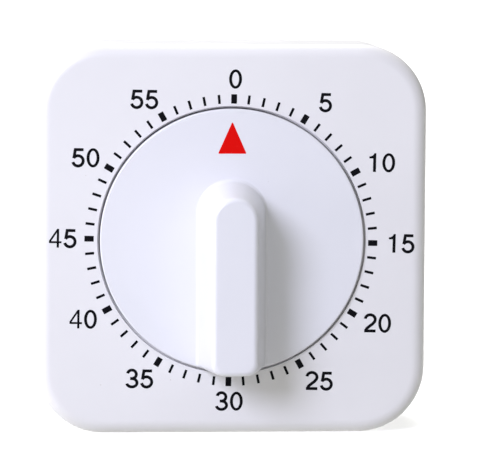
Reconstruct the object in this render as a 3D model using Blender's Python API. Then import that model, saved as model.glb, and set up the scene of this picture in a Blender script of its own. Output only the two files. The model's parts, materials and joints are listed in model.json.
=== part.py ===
"""A 60-minute clockwork kitchen timer: a square plastic case, a dial with a grip, and its movement.

The case stands on its bottom edge with its face towards -Y. Shapes are drawn in millimetres
in the front view: x to the right and z up from the centre of their own pivot, and a depth
that grows from the plane of the case's face towards the back.
"""

import math

import bmesh
import bpy

MM = 0.001

# Case
BODY = 76.0
BODY_DEPTH = 29.0
CORNER = 13.0
WALL = 2.0
FACE_FILLET = 2.7
BACK_FILLET = 2.0
HOUSING_DEPTH = 24.3
COVER_FRONT = 24.7
COVER_PLATE = 2.2
BOSS_AT = 30.5
BOSS_RADIUS = 3.5
MAGNET_AT = 27.0
MAGNET_RADIUS = 5.0
MAGNET_DEPTH = 1.9
SLOT_COUNT = 7
SLOT_PITCH = 4.2
SLOT_SIZE = (25.0, 1.8)

# Dial and grip
DIAL_RADIUS = 25.6
DIAL_GAP = 0.5
DIAL_PROUD = 1.0
DIAL_SKIRT = 3.4
WELL_DEPTH = 4.0
WELL_FLOOR = 1.8
GRIP_HEIGHT = 14.0
GRIP_HALF_WIDTH = 6.5
GRIP_TOP_AT = 5.1
GRIP_SIDE_TAPER = 2.2
GRIP_END_TAPER = 0.8
GRIP_CORNER = 2.0
GRIP_FILLET = 0.8
GRIP_END_MARGIN = 0.2
GRIP_HOLLOW_FROM = -6.6
GRIP_HOLLOW_DEPTH = 12.0
DIAL_EDGE = 0.8
DIAL_WEB = 1.0
DIAL_SKIRT_WALL = 1.6
DIAL_HUB = 5.0
SOCKET_RADIUS = 2.15
SOCKET_FLAT = 1.45
SOCKET_DEPTH = 4.0
STOP_RADIUS = (21.2, 23.6)
STOP_WIDTH = 1.0
STOP_ANGLE = 225.0
DIAL_TRAVEL = 354.0

# Movement: plates, then each arbor's place from the dial's axis
FRONT_PLATE = (6.2, 7.2)
BACK_PLATE = (19.2, 20.2)
PLATE_SIZE = 52.0
PLATE_CENTRE = (0.0, -2.0)
PILLAR_AT = 22.0
SCREW_CIRCLE = 17.0
SCREW_ANGLES = (0.0, 90.0, 180.0)
PLATE_GAP = 0.1
SHOULDER_GAP = 0.2
PILLAR_TENON = 1.05
PILLAR_BODY = 1.9
PILLAR_FLOOR = 7.4
PILLAR_TOP = 19.0
PIVOT_RADIUS = 0.6
PIVOT_HOLE = 0.75


def polar(radius, degrees, centre=(0.0, 0.0)):
    """The point at this radius and angle from a centre."""
    turn = math.radians(degrees)
    return centre[0] + radius * math.cos(turn), centre[1] + radius * math.sin(turn)


# Gear pairs: driver teeth, pinion leaves, module, direction to the pinion's arbor
FIRST_PAIR = (60, 10, 0.5, 225.0)
SECOND_PAIR = (48, 8, 0.4, -35.0)
THIRD_PAIR = (48, 8, 0.35, -8.0)


def mesh_distance(pair):
    """The distance between the two arbors of a gear pair."""
    return pair[2] * (pair[0] + pair[1]) / 2


MAIN_ARBOR = (0.0, 0.0)
SECOND_ARBOR = polar(mesh_distance(FIRST_PAIR), FIRST_PAIR[3], MAIN_ARBOR)
THIRD_ARBOR = polar(mesh_distance(SECOND_PAIR), SECOND_PAIR[3], SECOND_ARBOR)
ESCAPE_ARBOR = polar(mesh_distance(THIRD_PAIR), THIRD_PAIR[3], THIRD_ARBOR)
ANCHOR_DIRECTION = 12.0
ANCHOR_DISTANCE = 8.6
ANCHOR_HUB = 1.9
PALLET_ARBOR = polar(ANCHOR_DISTANCE, ANCHOR_DIRECTION, ESCAPE_ARBOR)
LEVER_ARBOR = (-19.5, 6.5)
HAMMER_ARBOR = (-23.3, -8.5)
SPRING_POST_AT = 40.0
SPRING_POST = polar(17.25, SPRING_POST_AT)
SPRING_POST_TENON = 0.75
SPRING_POST_BODY = 1.1
MAINSPRING_TURNS = 5.5
MAINSPRING_RADII = (3.0, 12.6)
MAINSPRING_STRIP = 0.4
MAINSPRING_HOOK_GAP = 0.5
BELL_AT = (4.5, 0.0)

# Depths of the layers between the plates
MAINSPRING = (7.8, 11.6)
THIRD_WHEEL = (12.0, 12.8)
RATCHET = (12.2, 13.2)
MAIN_WHEEL = (13.4, 14.4)
CAM = (15.2, 16.0)
SECOND_WHEEL = (16.6, 17.4)
BALANCE = (8.2, 10.2)
HAMMER_ARM = (21.0, 21.7)
ANCHOR = (15.0, 16.2)
CLICK_SPRING = (12.3, 13.1)
SECOND_PINION = (13.1, 14.7)
THIRD_PINION = (16.3, 17.7)
ESCAPE_PINION = (11.7, 13.1)

# Each wheel's crossings: how many, inner and outer radius, half their angle
MAIN_CROSSINGS = (4, 7.2, 12.2, 26.0)
SECOND_CROSSINGS = (4, 3.4, 7.6, 32.0)
THIRD_CROSSINGS = (4, 3.0, 6.6, 31.0)
ESCAPE_CROSSINGS = (3, 2.0, 4.0, 40.0)

# Escapement, ratchet, cam and bell
ESCAPE_TEETH = 15
ESCAPE_RADIUS = 6.5
PALLET_SPAN = 42.0
PALLET_CLEARANCE = 0.25
RATCHET_TEETH = 16
RATCHET_RADII = (4.8, 6.0)
RATCHET_FACE = 62.0
CLICK_LENGTH = 6.2
CLICK_LEAN = 92.2
CLICK_PIN_BORE = 0.75
CLICK_SPRING_STRIP = 0.35
CLICK_SPRING_FROM = (10.1, 187.0)
CLICK_SPRING_RUN = (0.9, 61.0)
MAIN_BORE = 2.6
CAM_RADIUS = 8.0
NOTCH_DEPTH = 2.2
NOTCH_AT = 95.0
NOTCH_HALF = 12.0
STRIKE_TEETH = 8
STRIKE_RADII = (2.8, 4.2)
BELL_RADIUS = 18.0

FRONT_Y = (DIAL_PROUD + GRIP_HEIGHT - BODY_DEPTH) / 2
AXIS_Z = BODY / 2
DISC_SEGMENTS = 48
ROUND = 16
SMALL = 10


# ---------------------------------------------------------------- materials and objects


def clear_scene():
    """Start from an empty scene."""
    for old in list(bpy.data.objects):
        bpy.data.objects.remove(old, do_unlink=True)


def make_finish(name, colour, roughness, metallic=0.0):
    """A Principled material of one colour."""
    finish = bpy.data.materials.new(name)
    finish.use_nodes = True
    shader = finish.node_tree.nodes["Principled BSDF"]
    shader.inputs["Base Color"].default_value = (*colour, 1.0)
    shader.inputs["Roughness"].default_value = roughness
    shader.inputs["Metallic"].default_value = metallic
    finish.diffuse_color = (*colour, 1.0)
    return finish


clear_scene()
CASE_WHITE = make_finish("case_white", (0.78, 0.79, 0.85), 0.35)
DIAL_WHITE = make_finish("dial_white", (0.82, 0.83, 0.88), 0.3)
PLATED_STEEL = make_finish("plated_steel", (0.62, 0.62, 0.6), 0.35, 1.0)
BRASS = make_finish("brass", (0.75, 0.56, 0.25), 0.3, 1.0)
ARBOR_STEEL = make_finish("arbor_steel", (0.5, 0.5, 0.52), 0.25, 1.0)
SPRING_STEEL = make_finish("spring_steel", (0.2, 0.23, 0.3), 0.3, 1.0)
BELL_STEEL = make_finish("bell_steel", (0.7, 0.7, 0.72), 0.15, 1.0)
FERRITE = make_finish("ferrite", (0.06, 0.06, 0.065), 0.6)


def make_pivot(name, at):
    """An empty on the axis at this place of the front view."""
    pivot = bpy.data.objects.new(name, None)
    pivot.location = (at[0] * MM, 0.0, AXIS_Z * MM + at[1] * MM)
    bpy.context.scene.collection.objects.link(pivot)
    return pivot


def point(x, depth, z):
    """A mesh point from front-view millimetres."""
    return x * MM, (FRONT_Y + depth) * MM, z * MM


def shape_from(bm, name):
    """Close a bmesh into a mesh with its faces outwards and its round sides smooth."""
    bmesh.ops.recalc_face_normals(bm, faces=bm.faces)
    shape = bpy.data.meshes.new(name)
    bm.to_mesh(shape)
    bm.free()
    shape.shade_smooth()
    shape.set_sharp_from_angle(angle=math.radians(32.0))
    return shape


def add_piece(name, shape, finish, pivot, at=(0.0, 0.0)):
    """Put a mesh in the scene as a named piece under its pivot."""
    piece = bpy.data.objects.new(name, shape)
    bpy.context.scene.collection.objects.link(piece)
    piece.parent = pivot
    piece.location = (at[0] * MM, 0.0, at[1] * MM)
    if not shape.materials:
        shape.materials.append(finish)
    return piece


def combine(piece, shape, operation):
    """Join a tool's shape to a piece, or cut it away, with a Boolean modifier."""
    tool = bpy.data.objects.new(f"{piece.name}_tool_{len(piece.modifiers)}", shape)
    bpy.context.scene.collection.objects.link(tool)
    tool.parent = piece
    tool.hide_render = True
    tool.display_type = "WIRE"
    step = piece.modifiers.new(operation.lower(), "BOOLEAN")
    step.operation = operation
    step.solver = "EXACT"
    step.object = tool


# ---------------------------------------------------------------- outlines in the front view


def circle(radius, centre=(0.0, 0.0), segments=ROUND, turn=0.0):
    """Points round a circle."""
    return [polar(radius, turn + 360.0 * i / segments, centre) for i in range(segments)]


def arc(radius, start, end, steps, centre=(0.0, 0.0)):
    """Points along an arc, both ends included."""
    return [polar(radius, start + (end - start) * i / steps, centre) for i in range(steps + 1)]


def rounded_square(half, radius, steps=6, centre=(0.0, 0.0)):
    """Points round a square with rounded corners."""
    points = []
    for quarter, (sx, sz) in enumerate(((1, 1), (-1, 1), (-1, -1), (1, -1))):
        corner = (centre[0] + sx * (half - radius), centre[1] + sz * (half - radius))
        points += arc(radius, 90.0 * quarter, 90.0 * quarter + 90.0, steps, corner)
    return points


def slot(length, width, centre):
    """Points round a level slot with round ends."""
    reach = (length - width) / 2
    right = arc(width / 2, -90.0, 90.0, 4, (centre[0] + reach, centre[1]))
    left = arc(width / 2, 90.0, 270.0, 4, (centre[0] - reach, centre[1]))
    return right + left


def rectangle(x0, z0, x1, z1):
    """The corners of a rectangle."""
    return [(x0, z0), (x1, z0), (x1, z1), (x0, z1)]


def turned_by(points, degrees):
    """The same points turned about their pivot."""
    c = math.cos(math.radians(degrees))
    s = math.sin(math.radians(degrees))
    return [(x * c - z * s, x * s + z * c) for x, z in points]


def gear(teeth, root, tip, phase, at_root=0.27, at_tip=0.11):
    """A toothed outline. phase turns it, and at 0 a tooth points to +x."""
    points = []
    for tooth in range(teeth):
        for radius, part in ((root, -at_root), (tip, -at_tip), (tip, at_tip), (root, at_root)):
            points.append(polar(radius, phase + 360.0 * (tooth + part) / teeth))
    return points


def wheel_outline(pair, phase):
    """The driving wheel of a gear pair."""
    radius = pair[0] * pair[2] / 2
    return gear(pair[0], radius - pair[2], radius + 0.8 * pair[2], phase)


def pinion_outline(pair, phase):
    """The driven pinion of a gear pair."""
    radius = pair[1] * pair[2] / 2
    return gear(pair[1], radius - 1.1 * pair[2], radius + 0.6 * pair[2], phase, 0.25, 0.11)


def wheel_phase(pair):
    """Turns the wheel so that a gap faces its pinion."""
    return pair[3] + 180.0 / pair[0]


def pinion_phase(pair):
    """Turns the pinion so that a leaf faces its wheel."""
    return pair[3] + 180.0


def saw_outline(teeth, root, tip, face_at):
    """A ratchet's outline, whose steep faces look counter-clockwise."""
    points = []
    for tooth in range(teeth):
        angle = face_at + 360.0 * tooth / teeth
        points.append(polar(tip, angle))
        points.append(polar(root, angle + 0.6))
    return points


def windows(count, inner, outer, half_angle):
    """The crossings of a wheel: curved openings between its arms."""
    holes = []
    for i in range(count):
        middle = 360.0 * i / count
        outside = arc(outer, middle - half_angle, middle + half_angle, 3)
        inside = arc(inner, middle + half_angle * 0.8, middle - half_angle * 0.8, 2)
        holes.append(outside + inside)
    return holes


# ---------------------------------------------------------------- solids


def loft(name, rings, closed=False):
    """A closed solid through rings of (x, depth, z) points. A ring of one point is a tip."""
    bm = bmesh.new()
    rows = [[bm.verts.new(point(*p)) for p in ring] for ring in rings]
    pairs = list(zip(rows, rows[1:]))
    if closed:
        pairs.append((rows[-1], rows[0]))
    for low, high in pairs:
        for i in range(max(len(low), len(high))):
            corners = [low[i % len(low)], low[(i + 1) % len(low)]]
            corners += [high[(i + 1) % len(high)], high[i % len(high)]]
            bm.faces.new(list(dict.fromkeys(corners)))
    if not closed:
        for end in (rows[0], rows[-1]):
            if len(end) > 2:
                bm.faces.new(end)
    return shape_from(bm, name)


def ring_at(outline, depth):
    """An outline of the front view placed at a depth."""
    return [(x, depth, z) for x, z in outline]


def prism(name, outline, front, back):
    """A solid of one outline between two depths."""
    return loft(name, [ring_at(outline, front), ring_at(outline, back)])


def turned(name, profile, segments=ROUND, closed=False, at=(0.0, 0.0)):
    """A solid of revolution about the depth axis through (radius, depth) points."""
    rings = []
    for radius, depth in profile:
        outline = circle(radius, at, segments) if radius else [at]
        rings.append(ring_at(outline, depth))
    return loft(name, rings, closed)


def sheet(name, outline, holes, layer):
    """A flat piece with holes, cut from sheet that fills a layer of two depths."""
    bm = bmesh.new()
    for loop in [outline, *holes]:
        corners = [bm.verts.new(point(x, layer[0], z)) for x, z in loop]
        for a, b in zip(corners, corners[1:] + corners[:1]):
            bm.edges.new((a, b))
    bmesh.ops.triangle_fill(bm, edges=bm.edges, use_beauty=True, normal=(0.0, -1.0, 0.0))
    grown = bmesh.ops.extrude_face_region(bm, geom=list(bm.faces))
    moved = [part for part in grown["geom"] if isinstance(part, bmesh.types.BMVert)]
    bmesh.ops.translate(bm, verts=moved, vec=(0.0, (layer[1] - layer[0]) * MM, 0.0))
    return shape_from(bm, name)


def merged(name, shapes):
    """Several separate shapes as one mesh, for a tool with many bodies."""
    bm = bmesh.new()
    for shape in shapes:
        bm.from_mesh(shape)
    return shape_from(bm, name)


def strip(name, path, thickness, layer):
    """A band of spring strip that follows a path in the front view."""
    rings = []
    for i, here in enumerate(path):
        before = path[max(i - 1, 0)]
        after = path[min(i + 1, len(path) - 1)]
        run = math.hypot(after[0] - before[0], after[1] - before[1])
        side = ((before[1] - after[1]) / run, (after[0] - before[0]) / run)
        near = [here[k] - side[k] * thickness / 2 for k in (0, 1)]
        far = [here[k] + side[k] * thickness / 2 for k in (0, 1)]
        section = [(near, layer[0]), (far, layer[0]), (far, layer[1]), (near, layer[1])]
        rings.append([(p[0], depth, p[1]) for p, depth in section])
    return loft(name, rings)


def coil(name, radius, wire, layer, turns, leg, leg_at):
    """A wire spring: a coil round the depth axis with a straight leg at its back end."""
    around = 8
    steps = around * turns
    path = []
    for i in range(steps + 1):
        x, z = polar(radius, leg_at - 90.0 - 360.0 * (steps - i) / around)
        path.append((x, layer[0] + (layer[1] - layer[0]) * i / steps, z))
    x, depth, z = path[-1]
    end_x, end_z = polar(leg, leg_at, (x, z))
    path.append((end_x, depth, end_z))
    rings = []
    for i, (x, depth, z) in enumerate(path):
        before = path[max(i - 1, 0)]
        after = path[min(i + 1, len(path) - 1)]
        run = math.hypot(after[0] - before[0], after[2] - before[2])
        side = ((before[2] - after[2]) / run, (after[0] - before[0]) / run)
        section = [polar(wire / 2, 72.0 * k) for k in range(5)]
        rings.append([(x + side[0] * a, depth + b, z + side[1] * a) for a, b in section])
    return loft(name, rings)


# ---------------------------------------------------------------- case


def square_rings(steps):
    """Rings of the body's outline for (inset, depth) steps."""
    return [
        ring_at(rounded_square(BODY / 2 - inset, CORNER - inset), depth) for inset, depth in steps
    ]


def fillet_steps(size, edge, towards, steps=4):
    """(inset, depth) steps round an edge, from the side to the face at a depth."""
    found = []
    for i in range(steps + 1):
        turn = math.radians(90.0 * i / steps)
        found.append((size * (1 - math.cos(turn)), edge - towards * size * (1 - math.sin(turn))))
    return found


def four_corners(reach):
    """The four places at this distance from the centre along x and z."""
    return [(sx * reach, sz * reach) for sx in (-1, 1) for sz in (-1, 1)]


def make_front_housing(pivot):
    """The case's front: face, sides, the dial's well, screw bosses and the dial's stop."""
    outside = square_rings([(0.0, HOUSING_DEPTH), *fillet_steps(FACE_FILLET, 0.0, -1.0)])
    housing = add_piece("front_housing", loft("front_housing", outside), CASE_WHITE, pivot)
    inside = square_rings([(WALL, WALL), (WALL, HOUSING_DEPTH + 1.0)])
    combine(housing, loft("cavity", inside), "DIFFERENCE")

    well = DIAL_RADIUS + DIAL_GAP
    floor = WELL_DEPTH + WELL_FLOOR
    inner_walls = [prism("cup", circle(well + 1.6, segments=DISC_SEGMENTS), WALL / 2, floor)]
    for at in four_corners(BOSS_AT):
        inner_walls.append(prism("boss", circle(BOSS_RADIUS, at), WALL / 2, HOUSING_DEPTH))
    combine(housing, merged("inner_walls", inner_walls), "UNION")

    opening = prism("well", circle(well, segments=DISC_SEGMENTS), -1.0, WELL_DEPTH)
    combine(housing, opening, "DIFFERENCE")
    holes = [prism("arbor_hole", circle(3.4), WELL_DEPTH - 1.0, floor + 1.0)]
    for degrees in (0.0, 90.0, 180.0):
        place = circle(1.3, polar(SCREW_CIRCLE, degrees), SMALL)
        holes.append(prism("screw_hole", place, WELL_DEPTH - 1.0, floor + 1.0))
    for at in four_corners(BOSS_AT):
        holes.append(prism("boss_hole", circle(1.35, at, SMALL), 14.0, HOUSING_DEPTH + 1.0))
    combine(housing, merged("holes", holes), "DIFFERENCE")

    rib = prism("stop_rib", stop_outline(STOP_ANGLE), DIAL_SKIRT - 1.8, WELL_DEPTH + 0.5)
    combine(housing, rib, "UNION")


def stop_outline(angle):
    """The outline of the case's stop rib or of the dial's lug that meets it."""
    bar = rectangle(STOP_RADIUS[0], -STOP_WIDTH / 2, STOP_RADIUS[1], STOP_WIDTH / 2)
    return turned_by(bar, angle)


def make_rear_cover(pivot):
    """The case's back: a shallow tray with sound slots, lips, pads and pockets."""
    outside = square_rings([(0.0, COVER_FRONT), *fillet_steps(BACK_FILLET, BODY_DEPTH, 1.0)])
    cover = add_piece("rear_cover", loft("rear_cover", outside), CASE_WHITE, pivot)
    inner = BODY_DEPTH - COVER_PLATE
    inside = square_rings([(WALL, COVER_FRONT - 1.0), (WALL, inner)])
    combine(cover, loft("tray", inside), "DIFFERENCE")

    lip = BODY / 2 - WALL - 0.3
    level = rectangle(-18.0, lip - 1.3, 18.0, lip)
    added = [prism("lip", turned_by(level, 90.0 * i), 22.6, inner + 0.7) for i in range(4)]
    for at in four_corners(BOSS_AT):
        added.append(prism("pad", circle(BOSS_RADIUS, at), COVER_FRONT, inner + 0.7))
    for side in (-1, 1):
        place = circle(MAGNET_RADIUS + 1.3, (0.0, side * MAGNET_AT))
        added.append(prism("magnet_pad", place, 25.0, inner + 0.7))
    combine(cover, merged("cover_inside", added), "UNION")

    holes = []
    for at in four_corners(BOSS_AT):
        holes.append(turned("hole", [(1.5, 24.0), (1.5, 27.3), (3.3, 27.3), (3.3, 30.0)], at=at))
    for side in (-1, 1):
        place = circle(MAGNET_RADIUS + 0.15, (0.0, side * MAGNET_AT))
        holes.append(prism("pocket", place, BODY_DEPTH - MAGNET_DEPTH - 0.2, BODY_DEPTH + 1.0))
    for row in range(SLOT_COUNT):
        level = (row - (SLOT_COUNT - 1) / 2) * SLOT_PITCH
        place = slot(*SLOT_SIZE, (0.0, level))
        holes.append(prism("slot", place, inner - 1.0, BODY_DEPTH + 1.0))
    combine(cover, merged("cover_holes", holes), "DIFFERENCE")


def plus_sign(reach, width):
    """The outline of a cross recess."""
    half = width / 2
    quarter = [(reach, -half), (reach, half), (half, half)]
    return [p for i in range(4) for p in turned_by(quarter, 90.0 * i)]


def make_screw(name, pivot, at, head, shank, depths, facing):
    """A pan-head screw with a cross recess. facing is -1 when its head looks to the front."""
    seat, end = depths
    top = seat + facing * head * 0.5
    profile = [(0.0, top), (head * 0.7, top), (head, seat + facing * head * 0.25), (head, seat)]
    profile += [(shank, seat), (shank, end), (0.0, end)]
    screw = add_piece(name, turned(name, profile, 12), PLATED_STEEL, pivot, at)
    reach = sorted((top - facing * head * 0.25, top + facing))
    combine(screw, prism("recess", plus_sign(head * 0.5, head * 0.16), *reach), "DIFFERENCE")


def make_case(pivot):
    """The two shells, the screws that hold them, and the magnets."""
    make_front_housing(pivot)
    make_rear_cover(pivot)
    for number, at in enumerate(four_corners(BOSS_AT), 1):
        make_screw(f"case_screw_{number}", pivot, at, 2.9, 1.2, (27.5, 15.0), 1.0)
    outer = BODY_DEPTH - 0.1
    front = outer - MAGNET_DEPTH
    edge = MAGNET_RADIUS - 0.4
    profile = [(0.0, front), (MAGNET_RADIUS, front), (MAGNET_RADIUS, outer - 0.4), (edge, outer)]
    profile.append((0.0, outer))
    for name, side in (("magnet_upper", 1), ("magnet_lower", -1)):
        add_piece(name, turned(name, profile), FERRITE, pivot, (0.0, side * MAGNET_AT))


# ---------------------------------------------------------------- dial


def grip_outline(height, inset=0.0):
    """The grip's outline at a height over the disc, shrunk by an inset."""
    part = height / GRIP_HEIGHT
    half = GRIP_HALF_WIDTH - GRIP_SIDE_TAPER * part - inset
    end = DIAL_RADIUS - GRIP_END_MARGIN - GRIP_END_TAPER * part - inset
    corner = GRIP_CORNER
    low = math.sqrt((end - corner) ** 2 - (half - corner) ** 2)
    spread = math.degrees(math.atan2(low, half - corner))
    points = arc(half, 0.0, 180.0, 12, (0.0, GRIP_TOP_AT))
    points += arc(corner, 180.0, 180.0 + spread, 4, (corner - half, -low))
    points += arc(end, 180.0 + spread, 360.0 - spread, 6)[1:-1]
    points += arc(corner, 360.0 - spread, 360.0, 4, (half - corner, -low))
    return points


def make_dial_knob(pivot):
    """The dial: a hollow disc with the grip, the socket for the arbor and the stop's lug."""
    face = -DIAL_PROUD
    rim = DIAL_RADIUS
    skirt = rim - DIAL_SKIRT_WALL
    middle = DIAL_EDGE * (1 - math.sqrt(0.5))
    profile = [(0.0, face), (rim - DIAL_EDGE, face), (rim - middle, face + middle)]
    profile += [(rim, face + DIAL_EDGE), (rim, DIAL_SKIRT), (skirt, DIAL_SKIRT)]
    profile += [(skirt, DIAL_WEB), (DIAL_HUB, DIAL_WEB), (DIAL_HUB, DIAL_SKIRT), (0.0, DIAL_SKIRT)]
    knob = add_piece("dial_knob", turned("dial_knob", profile, DISC_SEGMENTS), DIAL_WHITE, pivot)

    rings = [ring_at(grip_outline(-DIAL_WEB), face + DIAL_WEB)]
    rings.append(ring_at(grip_outline(0.0), face))
    for i in range(6):
        turn = math.radians(18.0 * i)
        height = GRIP_HEIGHT - GRIP_FILLET * (1 - math.sin(turn))
        inset = GRIP_FILLET * (1 - math.cos(turn))
        rings.append(ring_at(grip_outline(height, inset), face - height))
    combine(knob, loft("grip", rings), "UNION")

    at_zero = STOP_ANGLE - (360.0 - DIAL_TRAVEL) / 2
    combine(knob, prism("stop_lug", stop_outline(at_zero), 0.0, DIAL_SKIRT), "UNION")

    hollow = [
        ring_at(rectangle(-4.4, -22.6, 4.4, GRIP_HOLLOW_FROM), 2 * DIAL_WEB),
        ring_at(rectangle(-2.6, -21.2, 2.6, GRIP_HOLLOW_FROM), -GRIP_HOLLOW_DEPTH),
    ]
    combine(knob, loft("hollow", hollow), "DIFFERENCE")
    socket = prism("socket", flatted(SOCKET_RADIUS, SOCKET_FLAT), -SOCKET_DEPTH, DIAL_SKIRT + 1.0)
    combine(knob, socket, "DIFFERENCE")


def flatted(radius, flat):
    """A round outline with one flat, looking up."""
    return [(x, min(z, flat)) for x, z in circle(radius)]


# ---------------------------------------------------------------- movement frame


def make_plates(pivot):
    """The two plates with their pivot, tenon and screw holes."""
    outline = rounded_square(PLATE_SIZE / 2, 4.0, 4, PLATE_CENTRE)
    arbors = (SECOND_ARBOR, THIRD_ARBOR, ESCAPE_ARBOR, PALLET_ARBOR, LEVER_ARBOR)
    shared = [circle(PIVOT_HOLE, at, SMALL) for at in arbors]
    shared += [circle(1.3, at, SMALL) for at in pillar_places()]
    shared.append(circle(0.9, SPRING_POST, SMALL))
    screws = [circle(1.3, polar(SCREW_CIRCLE, a), SMALL) for a in SCREW_ANGLES]
    front_holes = [*shared, *screws, circle(SOCKET_RADIUS), circle(PIVOT_HOLE, HAMMER_ARBOR, SMALL)]
    back_holes = [*shared, circle(1.35), circle(1.05, HAMMER_ARBOR), circle(1.2, BELL_AT, SMALL)]
    front = sheet("front_plate", outline, front_holes, FRONT_PLATE)
    back = sheet("back_plate", outline, back_holes, BACK_PLATE)
    add_piece("front_plate", front, PLATED_STEEL, pivot)
    add_piece("back_plate", back, PLATED_STEEL, pivot)


def pillar_places():
    """The pillars' four places, near the corners of the plates."""
    corners = four_corners(PILLAR_AT)
    return [(x + PLATE_CENTRE[0], z + PLATE_CENTRE[1]) for x, z in corners]


def make_nut(name, pivot, at, radius, bore, layer):
    """A hexagon nut."""
    nut = sheet(name, circle(radius, segments=6), [circle(bore, segments=SMALL)], layer)
    add_piece(name, nut, PLATED_STEEL, pivot, at)


def make_frame(pivot):
    """Plates, pillars and nuts, the mainspring's post and the screws into the case."""
    make_plates(pivot)
    foot = FRONT_PLATE[0] + PLATE_GAP
    low, high = PILLAR_FLOOR, PILLAR_TOP
    profile = [(0.0, foot), (PILLAR_TENON, foot), (PILLAR_TENON, low), (PILLAR_BODY, low)]
    profile += [(PILLAR_BODY, high), (PILLAR_TENON, high), (PILLAR_TENON, 21.9), (0.0, 21.9)]
    for number, at in enumerate(pillar_places(), 1):
        pillar = turned(f"pillar_{number}", profile, SMALL)
        add_piece(f"pillar_{number}", pillar, PLATED_STEEL, pivot, at)
        make_nut(f"pillar_nut_{number}", pivot, at, 2.3, 1.2, (20.4, 21.6))
    thin, thick = SPRING_POST_TENON, SPRING_POST_BODY
    end = BACK_PLATE[1] - PLATE_GAP
    post = [(0.0, foot), (thin, foot), (thin, low), (thick, low), (thick, high), (thin, high)]
    post += [(thin, end), (0.0, end)]
    add_piece("spring_post", turned("spring_post", post, SMALL), PLATED_STEEL, pivot, SPRING_POST)
    for number, degrees in enumerate(SCREW_ANGLES, 1):
        at = polar(SCREW_CIRCLE, degrees)
        make_screw(f"movement_screw_{number}", pivot, at, 2.2, 1.1, (3.9, 7.6), -1.0)


def make_mainspring(pivot):
    """The wound strip, from a free inner eye out to a hook round its post."""
    turns = MAINSPRING_TURNS
    inner, outer = MAINSPRING_RADII
    start = SPRING_POST_AT - 360.0 * turns
    path = []
    steps = int(turns * 16)
    for i in range(steps - 2):
        part = i / steps
        path.append(polar(inner + (outer - inner) * part, start + 360.0 * turns * part))
    hook = SPRING_POST_BODY + MAINSPRING_HOOK_GAP
    path += arc(hook, 0.0, 230.0, 7, SPRING_POST)
    wound = strip("mainspring", path, MAINSPRING_STRIP, MAINSPRING)
    add_piece("mainspring", wound, SPRING_STEEL, pivot)


def make_bell(pivot):
    """The bell cup on its post behind the back plate, with its nut."""
    r = BELL_RADIUS
    outside = [(r, 21.2), (r - 0.1, 22.6), (r - 1.0, 24.1), (r - 3.6, 25.1), (9.0, 25.5)]
    inside = [(9.0, 24.7), (r - 4.0, 24.3), (r - 1.7, 23.5), (r - 0.8, 22.4), (r - 0.8, 21.2)]
    cup = turned("bell", [*outside, (1.4, 25.6), (1.4, 24.8), *inside], 24, closed=True)
    add_piece("bell", cup, BELL_STEEL, pivot, BELL_AT)
    profile = [(0.0, 19.4), (1.05, 19.4), (1.05, 20.4), (2.0, 20.4), (2.0, 24.6), (1.1, 24.6)]
    profile += [(1.1, 26.5), (0.0, 26.5)]
    post = turned("bell_post", profile, 16)
    add_piece("bell_post", post, PLATED_STEEL, pivot, BELL_AT)
    make_nut("bell_nut", pivot, BELL_AT, 2.4, 1.25, (25.8, 26.5))


# ---------------------------------------------------------------- wheels and arbors


def make_arbor(name, pivot, profile, segments=SMALL):
    """A turned steel arbor through (radius, depth) points."""
    arbor = turned(name, [(0.0, profile[0][1]), *profile, (0.0, profile[-1][1])], segments)
    return add_piece(name, arbor, ARBOR_STEEL, pivot)


def pivoted(radius):
    """The profile of an arbor of this radius with a thin pivot in each plate."""
    front, back = FRONT_PLATE[1] + SHOULDER_GAP, BACK_PLATE[0] - SHOULDER_GAP
    first, last = FRONT_PLATE[0] + PLATE_GAP, BACK_PLATE[1] - PLATE_GAP
    profile = [(PIVOT_RADIUS, first), (PIVOT_RADIUS, front), (radius, front)]
    return profile + [(radius, back), (PIVOT_RADIUS, back), (PIVOT_RADIUS, last)]


def pinion_arbor(name, pivot, pair, pinion_layer, radius):
    """A pivoted arbor with a pinion cut on it."""
    arbor = make_arbor(name, pivot, pivoted(radius))
    combine(arbor, prism("leaves", pinion_outline(pair, pinion_phase(pair)), *pinion_layer), "UNION")


def make_wheel(name, pivot, outline, bore, crossings, layer, finish=None):
    """A flat wheel with its bore and its crossings."""
    holes = [circle(bore, segments=SMALL), *crossings]
    add_piece(name, sheet(name, outline, holes, layer), finish or BRASS, pivot)


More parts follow.
